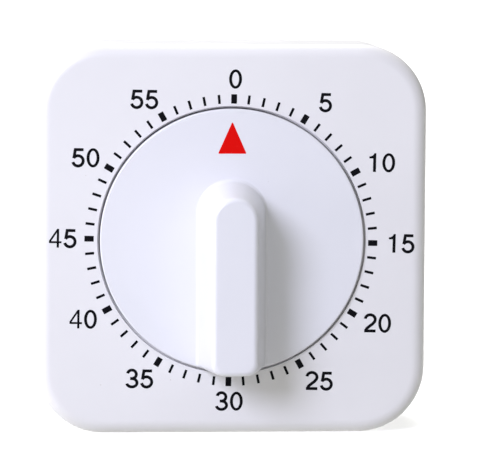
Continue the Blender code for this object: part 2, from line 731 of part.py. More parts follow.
def make_main_group(pivot):
    """What turns with the dial: arbor, ratchet, main wheel, cam and the click's pin."""
    profile = [(2.0, -3.6), (2.0, 7.5), (2.4, 7.5), (2.4, 17.0), (1.2, 17.0), (1.2, 20.1)]
    arbor = make_arbor("main_arbor", pivot, profile, ROUND)
    combine(arbor, prism("flat", rectangle(-3.0, 1.3, 3.0, 3.0), -5.0, 3.6), "DIFFERENCE")
    ratchet = saw_outline(RATCHET_TEETH, *RATCHET_RADII, RATCHET_FACE)
    make_wheel("ratchet_wheel", pivot, ratchet, MAIN_BORE, [], RATCHET, PLATED_STEEL)

    pin = click_pin_place()
    outline = wheel_outline(FIRST_PAIR, wheel_phase(FIRST_PAIR))
    openings = [turned_by(hole, 45.0) for hole in windows(*MAIN_CROSSINGS)]
    holes = [openings[0], openings[2], openings[3], circle(CLICK_PIN_BORE, pin, SMALL)]
    make_wheel("main_wheel", pivot, outline, MAIN_BORE, holes, MAIN_WHEEL)

    profile = [(0.0, 11.9), (1.3, 11.9), (1.3, 12.1), (0.6, 12.1), (0.6, 14.3), (0.0, 14.3)]
    add_piece("click_pin", turned("click_pin", profile, SMALL), ARBOR_STEEL, pivot, pin)
    leaf = []
    for i in range(11):
        part = i / 10
        reach = CLICK_SPRING_FROM[0] - CLICK_SPRING_RUN[0] * part
        leaf.append(polar(reach, CLICK_SPRING_FROM[1] - CLICK_SPRING_RUN[1] * part))
    band = strip("click_spring", leaf, CLICK_SPRING_STRIP, CLICK_SPRING)
    add_piece("click_spring", band, SPRING_STEEL, pivot)

    rim = arc(CAM_RADIUS, NOTCH_AT + NOTCH_HALF, NOTCH_AT + 360.0 - NOTCH_HALF, 32)
    floor = arc(CAM_RADIUS - NOTCH_DEPTH, NOTCH_AT - NOTCH_HALF, NOTCH_AT + NOTCH_HALF, 3)
    make_wheel("alarm_cam", pivot, rim + floor, MAIN_BORE, [], CAM)


def click_tip():
    """The click's contact point, just off the steep face of one ratchet tooth."""
    face = polar(RATCHET_RADII[0] + 0.25, RATCHET_FACE)
    return polar(0.15, RATCHET_FACE + 90.0, face)


def click_pin_place():
    """The click's pin: along the tangent from the tip, leaning in a little."""
    return polar(CLICK_LENGTH, RATCHET_FACE + CLICK_LEAN, click_tip())


def make_click(pivot):
    """The click that lets the arbor be wound one way, drawn about its own pin."""
    pin = click_pin_place()
    tip = click_tip()
    beak = polar(1.7, RATCHET_FACE + 2.0, tip)
    shoulder = polar(1.9, RATCHET_FACE + 55.0, beak)
    under = polar(RATCHET_RADII[1] + 0.3, RATCHET_FACE + 360.0 / RATCHET_TEETH + 1.0)
    backwards = RATCHET_FACE + CLICK_LEAN
    round_end = arc(1.4, backwards - 90.0, backwards - 35.0, 3, pin)
    tail = [polar(2.4, backwards - 12.0, pin), polar(2.4, backwards + 6.0, pin)]
    low_end = arc(1.4, backwards + 36.0, backwards + 96.0, 3, pin)
    outline = [tip, beak, shoulder, *round_end, *tail, *low_end, under]
    outline = [(x - pin[0], z - pin[1]) for x, z in outline]
    shape = sheet("click", outline, [circle(CLICK_PIN_BORE, segments=SMALL)], RATCHET)
    add_piece("click", shape, PLATED_STEEL, pivot)


def make_train(pivots):
    """The second, third and escape arbors with their wheels."""
    second = pivots["second"]
    pinion_arbor("second_arbor", second, FIRST_PAIR, SECOND_PINION, 0.9)
    outline = wheel_outline(SECOND_PAIR, wheel_phase(SECOND_PAIR))
    crossings = windows(*SECOND_CROSSINGS)
    make_wheel("second_wheel", second, outline, 1.1, crossings, SECOND_WHEEL)
    star = gear(STRIKE_TEETH, *STRIKE_RADII, 10.0, 0.35, 0.06)
    make_wheel("strike_wheel", second, star, 1.1, [], CAM, PLATED_STEEL)

    third = pivots["third"]
    pinion_arbor("third_arbor", third, SECOND_PAIR, THIRD_PINION, 0.8)
    outline = wheel_outline(THIRD_PAIR, wheel_phase(THIRD_PAIR))
    make_wheel("third_wheel", third, outline, 1.0, windows(*THIRD_CROSSINGS), THIRD_WHEEL)

    escape = pivots["escape"]
    pinion_arbor("escape_arbor", escape, THIRD_PAIR, ESCAPE_PINION, 0.7)
    teeth = gear(ESCAPE_TEETH, ESCAPE_RADIUS - 1.6, ESCAPE_RADIUS, ANCHOR_DIRECTION, 0.2, 0.05)
    make_wheel("escape_wheel", escape, teeth, 0.9, windows(*ESCAPE_CROSSINGS), CAM)


def make_escapement(pivot):
    """The anchor with its two pallets, and the weight that swings with it."""
    make_arbor("pallet_arbor", pivot, pivoted(0.8))
    reach = ESCAPE_RADIUS + PALLET_CLEARANCE
    tip_u, tip_v = polar(reach, PALLET_SPAN)
    base = polar(reach + 1.5, PALLET_SPAN - 5.0)
    knee = polar(reach + 2.6, PALLET_SPAN + 3.0)
    tip = [(tip_u - 0.18, tip_v + 0.2), (tip_u + 0.18, tip_v - 0.2)]
    hub = arc(ANCHOR_HUB, 15.0, 60.0, 3, (ANCHOR_DISTANCE, 0.0))
    side = [*hub, knee, *tip, base, (ANCHOR_DISTANCE - ANCHOR_HUB + 0.2, 1.2)]
    mirror = [(u, -v) for u, v in reversed(side)]
    outline = [(u - ANCHOR_DISTANCE, v) for u, v in side + mirror]
    outline = turned_by(outline, ANCHOR_DIRECTION)
    make_wheel("pallet_anchor", pivot, outline, 1.0, [], ANCHOR, PLATED_STEEL)
    holes = [circle(1.2, polar(4.0, 45.0 + 90.0 * i), SMALL) for i in range(4)]
    make_wheel("balance_weight", pivot, circle(6.2), 1.0, holes, BALANCE)


# ---------------------------------------------------------------- alarm


def link(start, end, near, far, steps=4):
    """The outline of a bar with a round end about each of two points."""
    turn = math.degrees(math.atan2(end[1] - start[1], end[0] - start[0]))
    outer_end = arc(far, turn - 90.0, turn + 90.0, steps, end)
    return outer_end + arc(near, turn + 90.0, turn + 270.0, steps, start)


def relative(place, pivot):
    """A place of the front view seen from a pivot."""
    return place[0] - pivot[0], place[1] - pivot[1]


def make_alarm_lever(pivot):
    """The lever whose nose rides on the cam and drops into its notch at zero."""
    make_arbor("lever_arbor", pivot, pivoted(0.9))
    nose = relative(polar(CAM_RADIUS + 0.2, NOTCH_AT), LEVER_ARBOR)
    back = relative(polar(CAM_RADIUS + 2.6, NOTCH_AT - 4.0), LEVER_ARBOR)
    inner = relative(polar(CAM_RADIUS + 1.5, NOTCH_AT + 8.0), LEVER_ARBOR)
    hub = circle(2.0, segments=SMALL)
    towards = relative(HAMMER_ARBOR, LEVER_ARBOR)
    stop_at = math.degrees(math.atan2(towards[1], towards[0]))
    stop = [polar(8.2, stop_at - 4.0), polar(8.2, stop_at + 5.0)]
    outline = [(2.0, 0.2), inner, (nose[0] - 0.5, nose[1]), (nose[0] + 0.5, nose[1]), back]
    outline += [(0.6, 2.0), hub[4], hub[6], hub[7], *stop]
    make_wheel("alarm_lever", pivot, outline, 1.1, [], CAM, PLATED_STEEL)


def make_hammer(pivot):
    """The hammer: arbor, the pallet that the strike wheel lifts, arm, head and spring."""
    make_arbor("hammer_arbor", pivot, [*pivoted(0.9)[:3], (0.9, HAMMER_ARM[1] + 0.3)])
    wheel = relative(SECOND_ARBOR, HAMMER_ARBOR)
    reach = math.hypot(*wheel) - STRIKE_RADII[1] - 0.2
    tail_at = math.degrees(math.atan2(wheel[1], wheel[0]))
    tail = [polar(1.9, tail_at - 50.0), polar(reach, tail_at - 3.0), polar(reach, tail_at + 3.0)]
    horn_at = math.degrees(math.atan2(*reversed(relative(LEVER_ARBOR, HAMMER_ARBOR))))
    horn = [polar(1.9, horn_at - 40.0), polar(6.6, horn_at - 4.0), polar(6.6, horn_at + 4.0)]
    outline = [*tail, *horn, polar(1.9, horn_at + 60.0), polar(1.9, horn_at + 130.0)]
    make_wheel("hammer_pallet", pivot, outline, 1.1, [], CAM, PLATED_STEEL)

    head = relative(polar(BELL_RADIUS + 2.9, 175.0, BELL_AT), HAMMER_ARBOR)
    arm = link((0.0, 0.0), head, 2.0, 1.7)
    holes = [circle(1.1, segments=SMALL), circle(1.0, head, SMALL)]
    add_piece("hammer_arm", sheet("hammer_arm", arm, holes, HAMMER_ARM), PLATED_STEEL, pivot)
    profile = [(0.0, 20.8), (0.8, 20.8), (0.8, 22.0), (1.9, 22.0), (2.2, 22.3), (2.2, 24.2)]
    profile += [(1.9, 24.5), (0.0, 24.5)]
    add_piece("hammer_head", turned("hammer_head", profile, 16), BRASS, pivot, head)


def make_return_springs(pivot):
    """The wire springs that bring the hammer and the alarm lever back."""
    for name, at, leg_at in (
        ("hammer_spring", HAMMER_ARBOR, 60.0),
        ("lever_spring", LEVER_ARBOR, 20.0),
    ):
        wire = coil(name, 1.5, 0.4, (8.6, 10.4), 3, 3.0, leg_at)
        add_piece(name, wire, SPRING_STEEL, pivot, at)


def build():
    """Every piece of the timer, each under the pivot that it turns about."""
    places = {
        "case": MAIN_ARBOR,
        "dial": MAIN_ARBOR,
        "click": click_pin_place(),
        "second": SECOND_ARBOR,
        "third": THIRD_ARBOR,
        "escape": ESCAPE_ARBOR,
        "pallet": PALLET_ARBOR,
        "lever": LEVER_ARBOR,
        "hammer": HAMMER_ARBOR,
    }
    pivots = {name: make_pivot(f"{name}_pivot", at) for name, at in places.items()}
    make_case(pivots["case"])
    make_frame(pivots["case"])
    make_mainspring(pivots["case"])
    make_bell(pivots["case"])
    make_return_springs(pivots["case"])
    make_dial_knob(pivots["dial"])
    make_main_group(pivots["dial"])
    make_click(pivots["click"])
    make_train(pivots)
    make_escapement(pivots["pallet"])
    make_alarm_lever(pivots["lever"])
    make_hammer(pivots["hammer"])


build()
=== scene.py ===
"""The looks of a clockwork kitchen timer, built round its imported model.

The timer stands on z = 0 with its face towards -Y. Lengths are metres and angles are
degrees. Each sub-assembly is a class: its fields are sizes, and its methods make the
meshes, dress them and hang them on the body that they move with.
"""

from __future__ import annotations

import json
import logging
import math
from collections.abc import Iterable, Sequence
from dataclasses import dataclass
from enum import Enum

import bmesh
import bpy
from mathutils import Matrix, Vector


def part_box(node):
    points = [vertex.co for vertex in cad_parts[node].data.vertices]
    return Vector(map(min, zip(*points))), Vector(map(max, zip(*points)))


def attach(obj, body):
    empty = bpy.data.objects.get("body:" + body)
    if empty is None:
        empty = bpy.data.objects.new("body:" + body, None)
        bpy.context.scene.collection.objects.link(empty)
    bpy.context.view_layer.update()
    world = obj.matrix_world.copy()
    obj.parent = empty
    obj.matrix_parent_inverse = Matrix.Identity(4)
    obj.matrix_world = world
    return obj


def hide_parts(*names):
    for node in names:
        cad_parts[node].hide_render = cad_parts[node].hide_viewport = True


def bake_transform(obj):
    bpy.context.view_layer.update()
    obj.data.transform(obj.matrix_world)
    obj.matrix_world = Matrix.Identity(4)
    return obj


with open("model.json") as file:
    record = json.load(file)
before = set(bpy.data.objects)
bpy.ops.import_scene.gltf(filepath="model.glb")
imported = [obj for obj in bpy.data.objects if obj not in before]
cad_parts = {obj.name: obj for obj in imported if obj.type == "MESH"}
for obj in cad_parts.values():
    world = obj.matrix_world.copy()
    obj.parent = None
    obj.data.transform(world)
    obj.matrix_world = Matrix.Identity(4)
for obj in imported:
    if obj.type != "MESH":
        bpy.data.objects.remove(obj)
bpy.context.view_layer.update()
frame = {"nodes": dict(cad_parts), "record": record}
LOG = logging.getLogger("timer")

Colour = tuple[float, float, float]
Point = tuple[float, float]
Ring = list[Vector]
Mesh = bpy.types.Mesh

AXIS_Z = (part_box("front_housing")[0].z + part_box("front_housing")[1].z) / 2
FACE_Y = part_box("front_housing")[0].y
SHARP = 32.0
FULL_TURN = 360.0
QUARTER = 90.0
TOUCH = 1e-7
CHAMFER = 0.0003
OVERLAP = 0.0005
OVERCUT = 0.001
SCREW_ANGLES = (0.0, 90.0, 180.0)
ONTO_FACE = Matrix.Rotation(math.radians(QUARTER), 4, "X")


# ---------------------------------------------------------------- shader building


class Value:
    """A number that varies over a surface, with arithmetic that adds Math nodes."""

    def __init__(self, shader: Shader, socket: bpy.types.NodeSocket) -> None:
        """Wrap an output socket of a shader's tree."""
        self.shader = shader
        self.socket = socket

    def _math(self, operation: str, *terms: Value | float) -> Value:
        """Add one Math node.

        Args:
            operation: the node's operation.
            terms: its inputs, as values or numbers.

        Returns:
            The node's result.
        """
        made = self.shader.node("ShaderNodeMath", {"operation": operation}, dict(enumerate(terms)))
        return Value(self.shader, made.outputs[0])

    def __add__(self, other: Value | float) -> Value:
        """Sum."""
        return self._math("ADD", self, other)

    def __radd__(self, other: float) -> Value:
        """Sum with a number on the left."""
        return self._math("ADD", other, self)

    def __sub__(self, other: Value | float) -> Value:
        """Difference."""
        return self._math("SUBTRACT", self, other)

    def __rsub__(self, other: float) -> Value:
        """Difference from a number."""
        return self._math("SUBTRACT", other, self)

    def __mul__(self, other: Value | float) -> Value:
        """Product."""
        return self._math("MULTIPLY", self, other)

    def __rmul__(self, other: float) -> Value:
        """Product with a number on the left."""
        return self._math("MULTIPLY", other, self)

    def step(self, low: float, high: float) -> Value:
        """Rise smoothly from 0 at one value to 1 at another.

        Args:
            low: where the rise starts.
            high: where it ends.

        Returns:
            The value between 0 and 1.
        """
        settings = {"interpolation_type": "SMOOTHSTEP"}
        made = self.shader.node("ShaderNodeMapRange", settings, {0: self, 1: low, 2: high})
        return Value(self.shader, made.outputs[0])


class Shader:
    """The node tree of one material, centred on a point of its piece."""

    def __init__(self, name: str, centre: Vector) -> None:
        """Start a tree.

        Args:
            name: the material's name.
            centre: the point of the model that patterns are centred on.
        """
        self.material = bpy.data.materials.new(name)
        self.material.use_nodes = True
        self.tree = self.material.node_tree
        self.tree.nodes.clear()
        coordinates = self.node("ShaderNodeTexCoord")
        offset = {"Vector": coordinates.outputs["Object"], "Location": tuple(-centre)}
        self.place = self.node("ShaderNodeMapping", {}, offset).outputs[0]

    def node(
        self, kind: str, settings: dict | None = None, sockets: dict | None = None
    ) -> bpy.types.Node:
        """Add a node.

        Args:
            kind: the node's type.
            settings: properties of the node, which are set first.
            sockets: values or links of its inputs, by name or number.

        Returns:
            The new node.
        """
        made = self.tree.nodes.new(kind)
        for key, value in (settings or {}).items():
            setattr(made, key, value)
        for key, value in (sockets or {}).items():
            source = value.socket if isinstance(value, Value) else value
            if isinstance(source, bpy.types.NodeSocket):
                self.tree.links.new(source, made.inputs[key])
            else:
                made.inputs[key].default_value = source
        return made

    def axis(self, name: str) -> Value:
        """One coordinate, X, Y or Z, from the pattern's centre."""
        return Value(self, self.node("ShaderNodeSeparateXYZ", {}, {0: self.place}).outputs[name])

    def radius(self) -> Value:
        """The distance from the line along Y through the pattern's centre."""
        flat = {"operation": "MULTIPLY"}
        flattened = self.node("ShaderNodeVectorMath", flat, {0: self.place, 1: (1.0, 0.0, 1.0)})
        length = {"operation": "LENGTH"}
        made = self.node("ShaderNodeVectorMath", length, {0: flattened.outputs[0]})
        return Value(self, made.outputs["Value"])

    def vector(self, x: Value | float, y: Value | float, z: Value | float) -> bpy.types.NodeSocket:
        """Three numbers as a vector."""
        return self.node("ShaderNodeCombineXYZ", {}, {0: x, 1: y, 2: z}).outputs[0]

    def noise(
        self, size: float, detail: float = 3.0, place: bpy.types.NodeSocket | None = None
    ) -> Value:
        """Smooth noise.

        Args:
            size: the size of its largest lumps.
            detail: how many finer layers it has.
            place: the coordinates to read, or None for the piece's own.

        Returns:
            A value about 0.5.
        """
        sockets = {"Vector": place or self.place, "Scale": 1.0 / size, "Detail": detail}
        return Value(self, self.node("ShaderNodeTexNoise", {}, sockets).outputs[0])

    def specks(self, size: float, share: float) -> Value:
        """Small round specks.

        Args:
            size: the spacing of the cells that can hold one.
            share: a speck's radius as a share of that spacing.

        Returns:
            1 inside a speck and 0 outside.
        """
        sockets = {"Vector": self.place, "Scale": 1.0 / size, "Randomness": 1.0}
        made = self.node("ShaderNodeTexVoronoi", {}, sockets)
        return 1.0 - Value(self, made.outputs["Distance"]).step(share * 0.6, share)

    def blend(self, share: Value, low: Colour, high: Colour) -> bpy.types.NodeSocket:
        """Mix two colours, or a link and a colour.

        Args:
            share: 0 for the first and 1 for the second.
            low: the first colour.
            high: the second colour.

        Returns:
            The mixed colour's socket.
        """
        inputs = {0: share, 6: opaque(low), 7: opaque(high)}
        made = self.node("ShaderNodeMix", {"data_type": "RGBA", "clamp_factor": True}, inputs)
        return made.outputs[2]

    def bump(self, height: Value, depth: float, strength: float = 1.0) -> bpy.types.NodeSocket:
        """Turn a height into a normal.

        Args:
            height: the height pattern.
            depth: how deep one unit of it is.
            strength: the Bump node's strength.

        Returns:
            The normal's socket.
        """
        sockets = {"Height": height, "Distance": depth, "Strength": strength}
        return self.node("ShaderNodeBump", {}, sockets).outputs[0]

    def close(self, **sockets: object) -> bpy.types.Material:
        """Finish the tree with one Principled shader.

        Args:
            sockets: its inputs, with underscores for spaces.

        Returns:
            The material.
        """
        named = {key.replace("_", " "): value for key, value in sockets.items()}
        surface = self.node("ShaderNodeBsdfPrincipled", {}, named)
        self.node("ShaderNodeOutputMaterial", {}, {"Surface": surface.outputs[0]})
        return self.material


class Sky(Shader):
    """The node tree of the world, read by direction."""

    def __init__(self, name: str) -> None:
        """Start a world's tree."""
        self.world = bpy.data.worlds.new(name)
        self.world.use_nodes = True
        self.tree = self.world.node_tree
        self.tree.nodes.clear()
        self.place = self.node("ShaderNodeTexCoord").outputs["Generated"]

    def shine(self, colour: Colour, strength: Value) -> None:
        """Finish the tree and light the scene with it.

        Args:
            colour: the light's colour.
            strength: how bright each direction is.
        """
        sockets = {"Color": opaque(colour), "Strength": strength}
        light = self.node("ShaderNodeBackground", {}, sockets)
        self.node("ShaderNodeOutputWorld", {}, {"Surface": light.outputs[0]})
        bpy.context.scene.world = self.world


def opaque(colour: Colour | bpy.types.NodeSocket) -> tuple | bpy.types.NodeSocket:
    """A colour with full alpha, or the link that stands for one."""
    return colour if isinstance(colour, bpy.types.NodeSocket) else (*colour, 1.0)


# ---------------------------------------------------------------- finishes


@dataclass(frozen=True)
class MouldedPlastic:
    """Injection-moulded plastic: a fine satin skin, faint flow clouds and handling marks."""

    colour: Colour = (0.82, 0.81, 0.825)
    cloud: Colour = (0.8, 0.79, 0.805)
    speck: Colour = (0.5, 0.47, 0.42)
    roughness: float = 0.34
    skin: float = 0.00035
    skin_depth: float = 0.0000035
    waviness: float = 0.011
    waviness_depth: float = 0.00002
    cloud_size: float = 0.03
    smear_size: float = 0.008
    speck_spacing: float = 0.0065
    speck_share: float = 0.018
    index: float = 1.5

    def material(self, name: str, centre: Vector) -> bpy.types.Material:
        """Build the material round a centre."""
        shader = Shader(name, centre)
        clouds = shader.noise(self.cloud_size, 4.0).step(0.35, 0.7)
        smears = shader.noise(self.smear_size, 5.0).step(0.45, 0.75)
        specks = shader.specks(self.speck_spacing, self.speck_share)
        fine = shader.noise(self.skin, 2.0)
        waves = shader.noise(self.waviness, 1.0)
        tint = shader.blend(clouds, self.colour, self.cloud)
        tint = shader.blend(specks * 0.7, tint, self.speck)
        height = fine * self.skin_depth + waves * self.waviness_depth
        return shader.close(
            Base_Color=tint,
            Roughness=self.roughness + 0.1 * smears + 0.05 * fine,
            IOR=self.index,
            Specular_IOR_Level=0.5,
            Normal=shader.bump(height, 1.0),
        )


@dataclass(frozen=True)
class PrintInk:
    """Pad-printed ink: an even film with pinholes and a slightly uneven surface."""

    colour: Colour = (0.0015, 0.0015, 0.003)
    thin: Colour = (0.006, 0.006, 0.009)
    roughness: float = 0.55
    sheen: float = 0.06
    cover_size: float = 0.0009
    pinhole_spacing: float = 0.0006
    pinhole_share: float = 0.12
    grain: float = 0.0002
    grain_depth: float = 0.000002

    def material(self, name: str, centre: Vector) -> bpy.types.Material:
        """Build the material round a centre."""
        shader = Shader(name, centre)
        cover = shader.noise(self.cover_size, 4.0).step(0.55, 0.8)
        pinholes = shader.specks(self.pinhole_spacing, self.pinhole_share)
        tint = shader.blend((cover + pinholes) * 0.6, self.colour, self.thin)
        return shader.close(
            Base_Color=tint,
            Roughness=self.roughness + 0.12 * cover,
            Specular_IOR_Level=self.sheen,
            Normal=shader.bump(shader.noise(self.grain, 2.0), self.grain_depth),
        )


class Lay(Enum):
    """The direction that a metal's finish lines run in."""

    ROUND = "round"
    ALONG = "along"
    NONE = "none"


@dataclass(frozen=True)
class Metal:
    """Worked metal: finish lines, tarnish or plating clouds, and small scratches."""

    colour: Colour
    shade: Colour
    roughness: float = 0.3
    lay: Lay = Lay.NONE
    line: float = 0.00006
    depth: float = 0.000004
    cloud: float = 0.003
    spread: float = 0.12
    scratch: float = 0.0004
    scratch_stretch: float = 0.08

    def material(self, name: str, centre: Vector) -> bpy.types.Material:
        """Build the material round a centre."""
        shader = Shader(name, centre)
        lines = shader.noise(self.line, 2.0, self._pattern(shader))
        clouds = shader.noise(self.cloud, 5.0).step(0.35, 0.75)
        x, y, z = (shader.axis(name) for name in "XYZ")
        drawn_out = shader.vector(x * self.scratch_stretch, y, z)
        scratches = shader.noise(self.scratch, 1.0, drawn_out).step(0.68, 0.74)
        tint = shader.blend(clouds * 0.8 + lines * 0.2, self.colour, self.shade)
        return shader.close(
            Base_Color=tint,
            Metallic=1.0,
            Roughness=self.roughness + self.spread * clouds + 0.1 * lines + 0.15 * scratches,
            Normal=shader.bump(lines - 0.5 * scratches, self.depth),
        )

    def _pattern(self, shader: Shader) -> bpy.types.NodeSocket:
        """The coordinates that the finish lines are read in."""
        if self.lay is Lay.ROUND:
            return shader.vector(shader.radius(), shader.axis("Y") * 0.05, 0.0)
        if self.lay is Lay.ALONG:
            x, y, z = (shader.axis(name) for name in "XYZ")
            return shader.vector(x * 0.02, y, z)
        return shader.place


@dataclass(frozen=True)
class Ferrite:
    """Sintered magnet: dark and granular, with pale rubbed spots on its face."""

    colour: Colour = (0.032, 0.033, 0.036)
    rubbed: Colour = (0.12, 0.12, 0.125)
    grain_size: float = 0.00012
    grain_depth: float = 0.00002
    worn_size: float = 0.002
    rim: Point = (0.0042, 0.005)

    def material(self, name: str, centre: Vector) -> bpy.types.Material:
        """Build the material round a centre."""
        shader = Shader(name, centre)
        grain = shader.noise(self.grain_size, 3.0)
        worn = shader.noise(self.worn_size, 5.0).step(0.55, 0.75)
        rim = shader.radius().step(*self.rim)
        tint = shader.blend((worn + rim) * 0.5 * grain, self.colour, self.rubbed)
        return shader.close(
            Base_Color=tint,
            Roughness=0.62 - 0.2 * worn + 0.1 * grain,
            Metallic=0.15,
            Normal=shader.bump(grain, self.grain_depth),
        )


CASE_PLASTIC = MouldedPlastic()
DIAL_PLASTIC = MouldedPlastic(
    colour=(0.79, 0.79, 0.835), cloud=(0.765, 0.77, 0.815), roughness=0.28, waviness_depth=0.000012
)
BLACK_INK = PrintInk()
RED_INK = PrintInk(colour=(0.74, 0.003, 0.002), thin=(0.8, 0.015, 0.012), roughness=0.5)
ZINC = Metal((0.6, 0.61, 0.62), (0.44, 0.45, 0.47), 0.34, Lay.ALONG)
SCREW_ZINC = Metal((0.66, 0.66, 0.65), (0.45, 0.46, 0.48), 0.3, Lay.ROUND, cloud=0.001)
BRASS = Metal((0.78, 0.56, 0.24), (0.6, 0.4, 0.16), 0.28, Lay.ROUND, cloud=0.004)
ARBOR_STEEL = Metal((0.58, 0.58, 0.6), (0.4, 0.4, 0.43), 0.22, Lay.ROUND, cloud=0.0015)
SPRING_STEEL = Metal((0.2, 0.24, 0.33), (0.13, 0.12, 0.16), 0.26, Lay.ALONG, cloud=0.002)
BELL_NICKEL = Metal((0.74, 0.73, 0.71), (0.6, 0.59, 0.57), 0.12, Lay.ROUND, 0.00015, 0.000002)
FERRITE = Ferrite()


# ---------------------------------------------------------------- outlines and solids


def polar(radius: float, degrees: float, centre: Point = (0.0, 0.0)) -> Point:
    """The point at this radius and angle from a centre."""
    turn = math.radians(degrees)
    return centre[0] + radius * math.cos(turn), centre[1] + radius * math.sin(turn)


def arc(radius: float, start: float, end: float, steps: int, centre: Point = (0.0, 0.0)) -> list:
    """Points along an arc, both ends included."""
    return [polar(radius, start + (end - start) * i / steps, centre) for i in range(steps + 1)]


def circle(radius: float, steps: int = 64, centre: Point = (0.0, 0.0)) -> list[Point]:
    """Points round a circle."""
    return arc(radius, 0.0, FULL_TURN * (steps - 1) / steps, steps - 1, centre)


def four_corners(reach: float) -> list[Point]:
    """The four places at this distance from the centre along x and z."""
    return [(sx * reach, sz * reach) for sx in (-1, 1) for sz in (-1, 1)]


def ring_at(outline: Iterable[Point], depth: float, origin: Point = (0.0, 0.0)) -> Ring:
    """An outline of the front view as points of the model.

    Args:
        outline: points measured from the origin, x to the right and z up.
        depth: how far behind the plane of the case's face they lie.
        origin: the outline's origin, measured from the dial's axis.

    Returns:
        The points.
    """
    x, z = origin[0], origin[1] + AXIS_Z
    return [Vector((x + p[0], FACE_Y + depth, z + p[1])) for p in outline]


def mesh_of(bm: bmesh.types.BMesh, name: str) -> Mesh:
    """Turn a bmesh into a mesh with its faces outwards and its round sides smooth."""
    bmesh.ops.recalc_face_normals(bm, faces=bm.faces)
    mesh = bpy.data.meshes.new(name)
    bm.to_mesh(mesh)
    bm.free()
    mesh.shade_smooth()
    mesh.set_sharp_from_angle(angle=math.radians(SHARP))
    return mesh


def loft(name: str, rings: Sequence[Ring], closed: bool = False) -> Mesh:
    """A closed solid through rings of points.

    Args:
        name: the mesh's name.
        rings: rings with one number of points; a ring of one point is a tip.
        closed: True where the last ring joins the first, as round a hollow.

    Returns:
        The solid.
    """
    bm = bmesh.new()
    rows = [[bm.verts.new(point) for point in ring] for ring in rings]
    pairs = list(zip(rows, rows[1:])) + ([(rows[-1], rows[0])] if closed else [])
    for low, high in pairs:
        for i in range(max(len(low), len(high))):
            corners = [low[i % len(low)], low[(i + 1) % len(low)]]
            corners += [high[(i + 1) % len(high)], high[i % len(high)]]
            bm.faces.new(list(dict.fromkeys(corners)))
    if not closed:
        for end in (rows[0], rows[-1]):
            if len(end) > 2:
                bm.faces.new(end)
    return mesh_of(bm, name)


def prism(outline: Sequence[Point], front: float, back: float, origin: Point = (0.0, 0.0)) -> Mesh:
    """A solid of one outline between two depths."""
    return loft("prism", [ring_at(outline, front, origin), ring_at(outline, back, origin)])


def turned(
    name: str,
    profile: Sequence[Point],
    origin: Point = (0.0, 0.0),
    steps: int = 64,
    closed: bool = False,
) -> Mesh:
    """A solid of revolution about the depth axis.

    Args:
        name: the mesh's name.
        profile: (radius, depth) points.
        origin: the axis's place, measured from the dial's axis.
        steps: how many sides it has.
        closed: True where the profile is a loop.

    Returns:
        The solid.
    """
    rings = []
    for radius, depth in profile:
        outline = circle(radius, steps) if radius else [(0.0, 0.0)]
        rings.append(ring_at(outline, depth, origin))
    return loft(name, rings, closed)


def sheet(
    name: str,
    outline: Sequence[Point],
    holes: Sequence[Sequence[Point]],
    front: float,
    back: float,
    origin: Point = (0.0, 0.0),
) -> Mesh:
    """A flat solid with holes.

    Args:
        name: the mesh's name.
        outline: the outer edge.
        holes: the edges of its holes.
        front: the depth of its front.
        back: the depth of its back.
        origin: the outline's origin, measured from the dial's axis.

    Returns:
        The solid.
    """
    bm = bmesh.new()
    for edge in [outline, *holes]:
        corners = [bm.verts.new(point) for point in ring_at(edge, front, origin)]
        for a, b in zip(corners, corners[1:] + corners[:1]):
            bm.edges.new((a, b))
    bmesh.ops.triangle_fill(bm, edges=bm.edges, use_beauty=True, normal=(0.0, -1.0, 0.0))
    grown = bmesh.ops.extrude_face_region(bm, geom=list(bm.faces))
    moved = [part for part in grown["geom"] if isinstance(part, bmesh.types.BMVert)]
    bmesh.ops.translate(bm, verts=moved, vec=(0.0, back - front, 0.0))
    return mesh_of(bm, name)


def spun(outline: Iterable[Point], degrees: float) -> list[Point]:
    """An outline turned about its origin."""
    turn = Matrix.Rotation(math.radians(degrees), 2)
    return [tuple(turn @ Vector(corner)) for corner in outline]


def rectangle(left: float, low: float, right: float, high: float) -> list[Point]:
    """The four corners of a rectangle."""
    return [(left, low), (right, low), (right, high), (left, high)]


def joined(name: str, meshes: Iterable[Mesh]) -> Mesh:
    """Several meshes as the separate bodies of one mesh."""
    bm = bmesh.new()
    for mesh in meshes:
        bm.from_mesh(mesh)
    return mesh_of(bm, name)


def hold(mesh: Mesh, name: str) -> bpy.types.Object:
    """Put a mesh in the scene at the origin."""
    piece = bpy.data.objects.new(name, mesh)
    bpy.context.scene.collection.objects.link(piece)
    return piece


def plain(piece: bpy.types.Object) -> Mesh:
    """The mesh of a piece as its modifiers leave it; the piece itself is removed."""
    bpy.context.view_layer.update()
    graph = bpy.context.evaluated_depsgraph_get()
    mesh = bpy.data.meshes.new_from_object(piece.evaluated_get(graph), depsgraph=graph)
    bpy.data.objects.remove(piece, do_unlink=True)
    return mesh


def combined(mesh: Mesh, tool: Mesh, operation: str) -> Mesh:
    """Join a tool to a mesh, or cut it away.

    Args:
        mesh: the mesh to change.
        tool: the other solid, of one or more bodies.
        operation: UNION or DIFFERENCE.

    Returns:
        The new mesh.
    """
    piece = hold(mesh, "worked")
    other = hold(tool, "tool")
    step = piece.modifiers.new("step", "BOOLEAN")
    step.operation = operation
    step.solver = "EXACT"
    step.object = other
    made = plain(piece)
    bpy.data.objects.remove(other, do_unlink=True)
    made.shade_smooth()
    made.set_sharp_from_angle(angle=math.radians(SHARP))
    return made


def round_steps(size: float, steps: int, tilt: float = 90.0) -> list[Point]:
    """(inset, drop) steps round an edge, from its side to its face.

    Args:
        size: the edge's radius.
        steps: how many facets it has.
        tilt: how far the edge turns.

    Returns:
        How far each step lies in from the side, and how far it still is below the face.
    """
    turns = [math.radians(tilt * i / steps) for i in range(steps + 1)]
    return [(size * (1 - math.cos(t)), size * (1 - math.sin(t))) for t in turns]


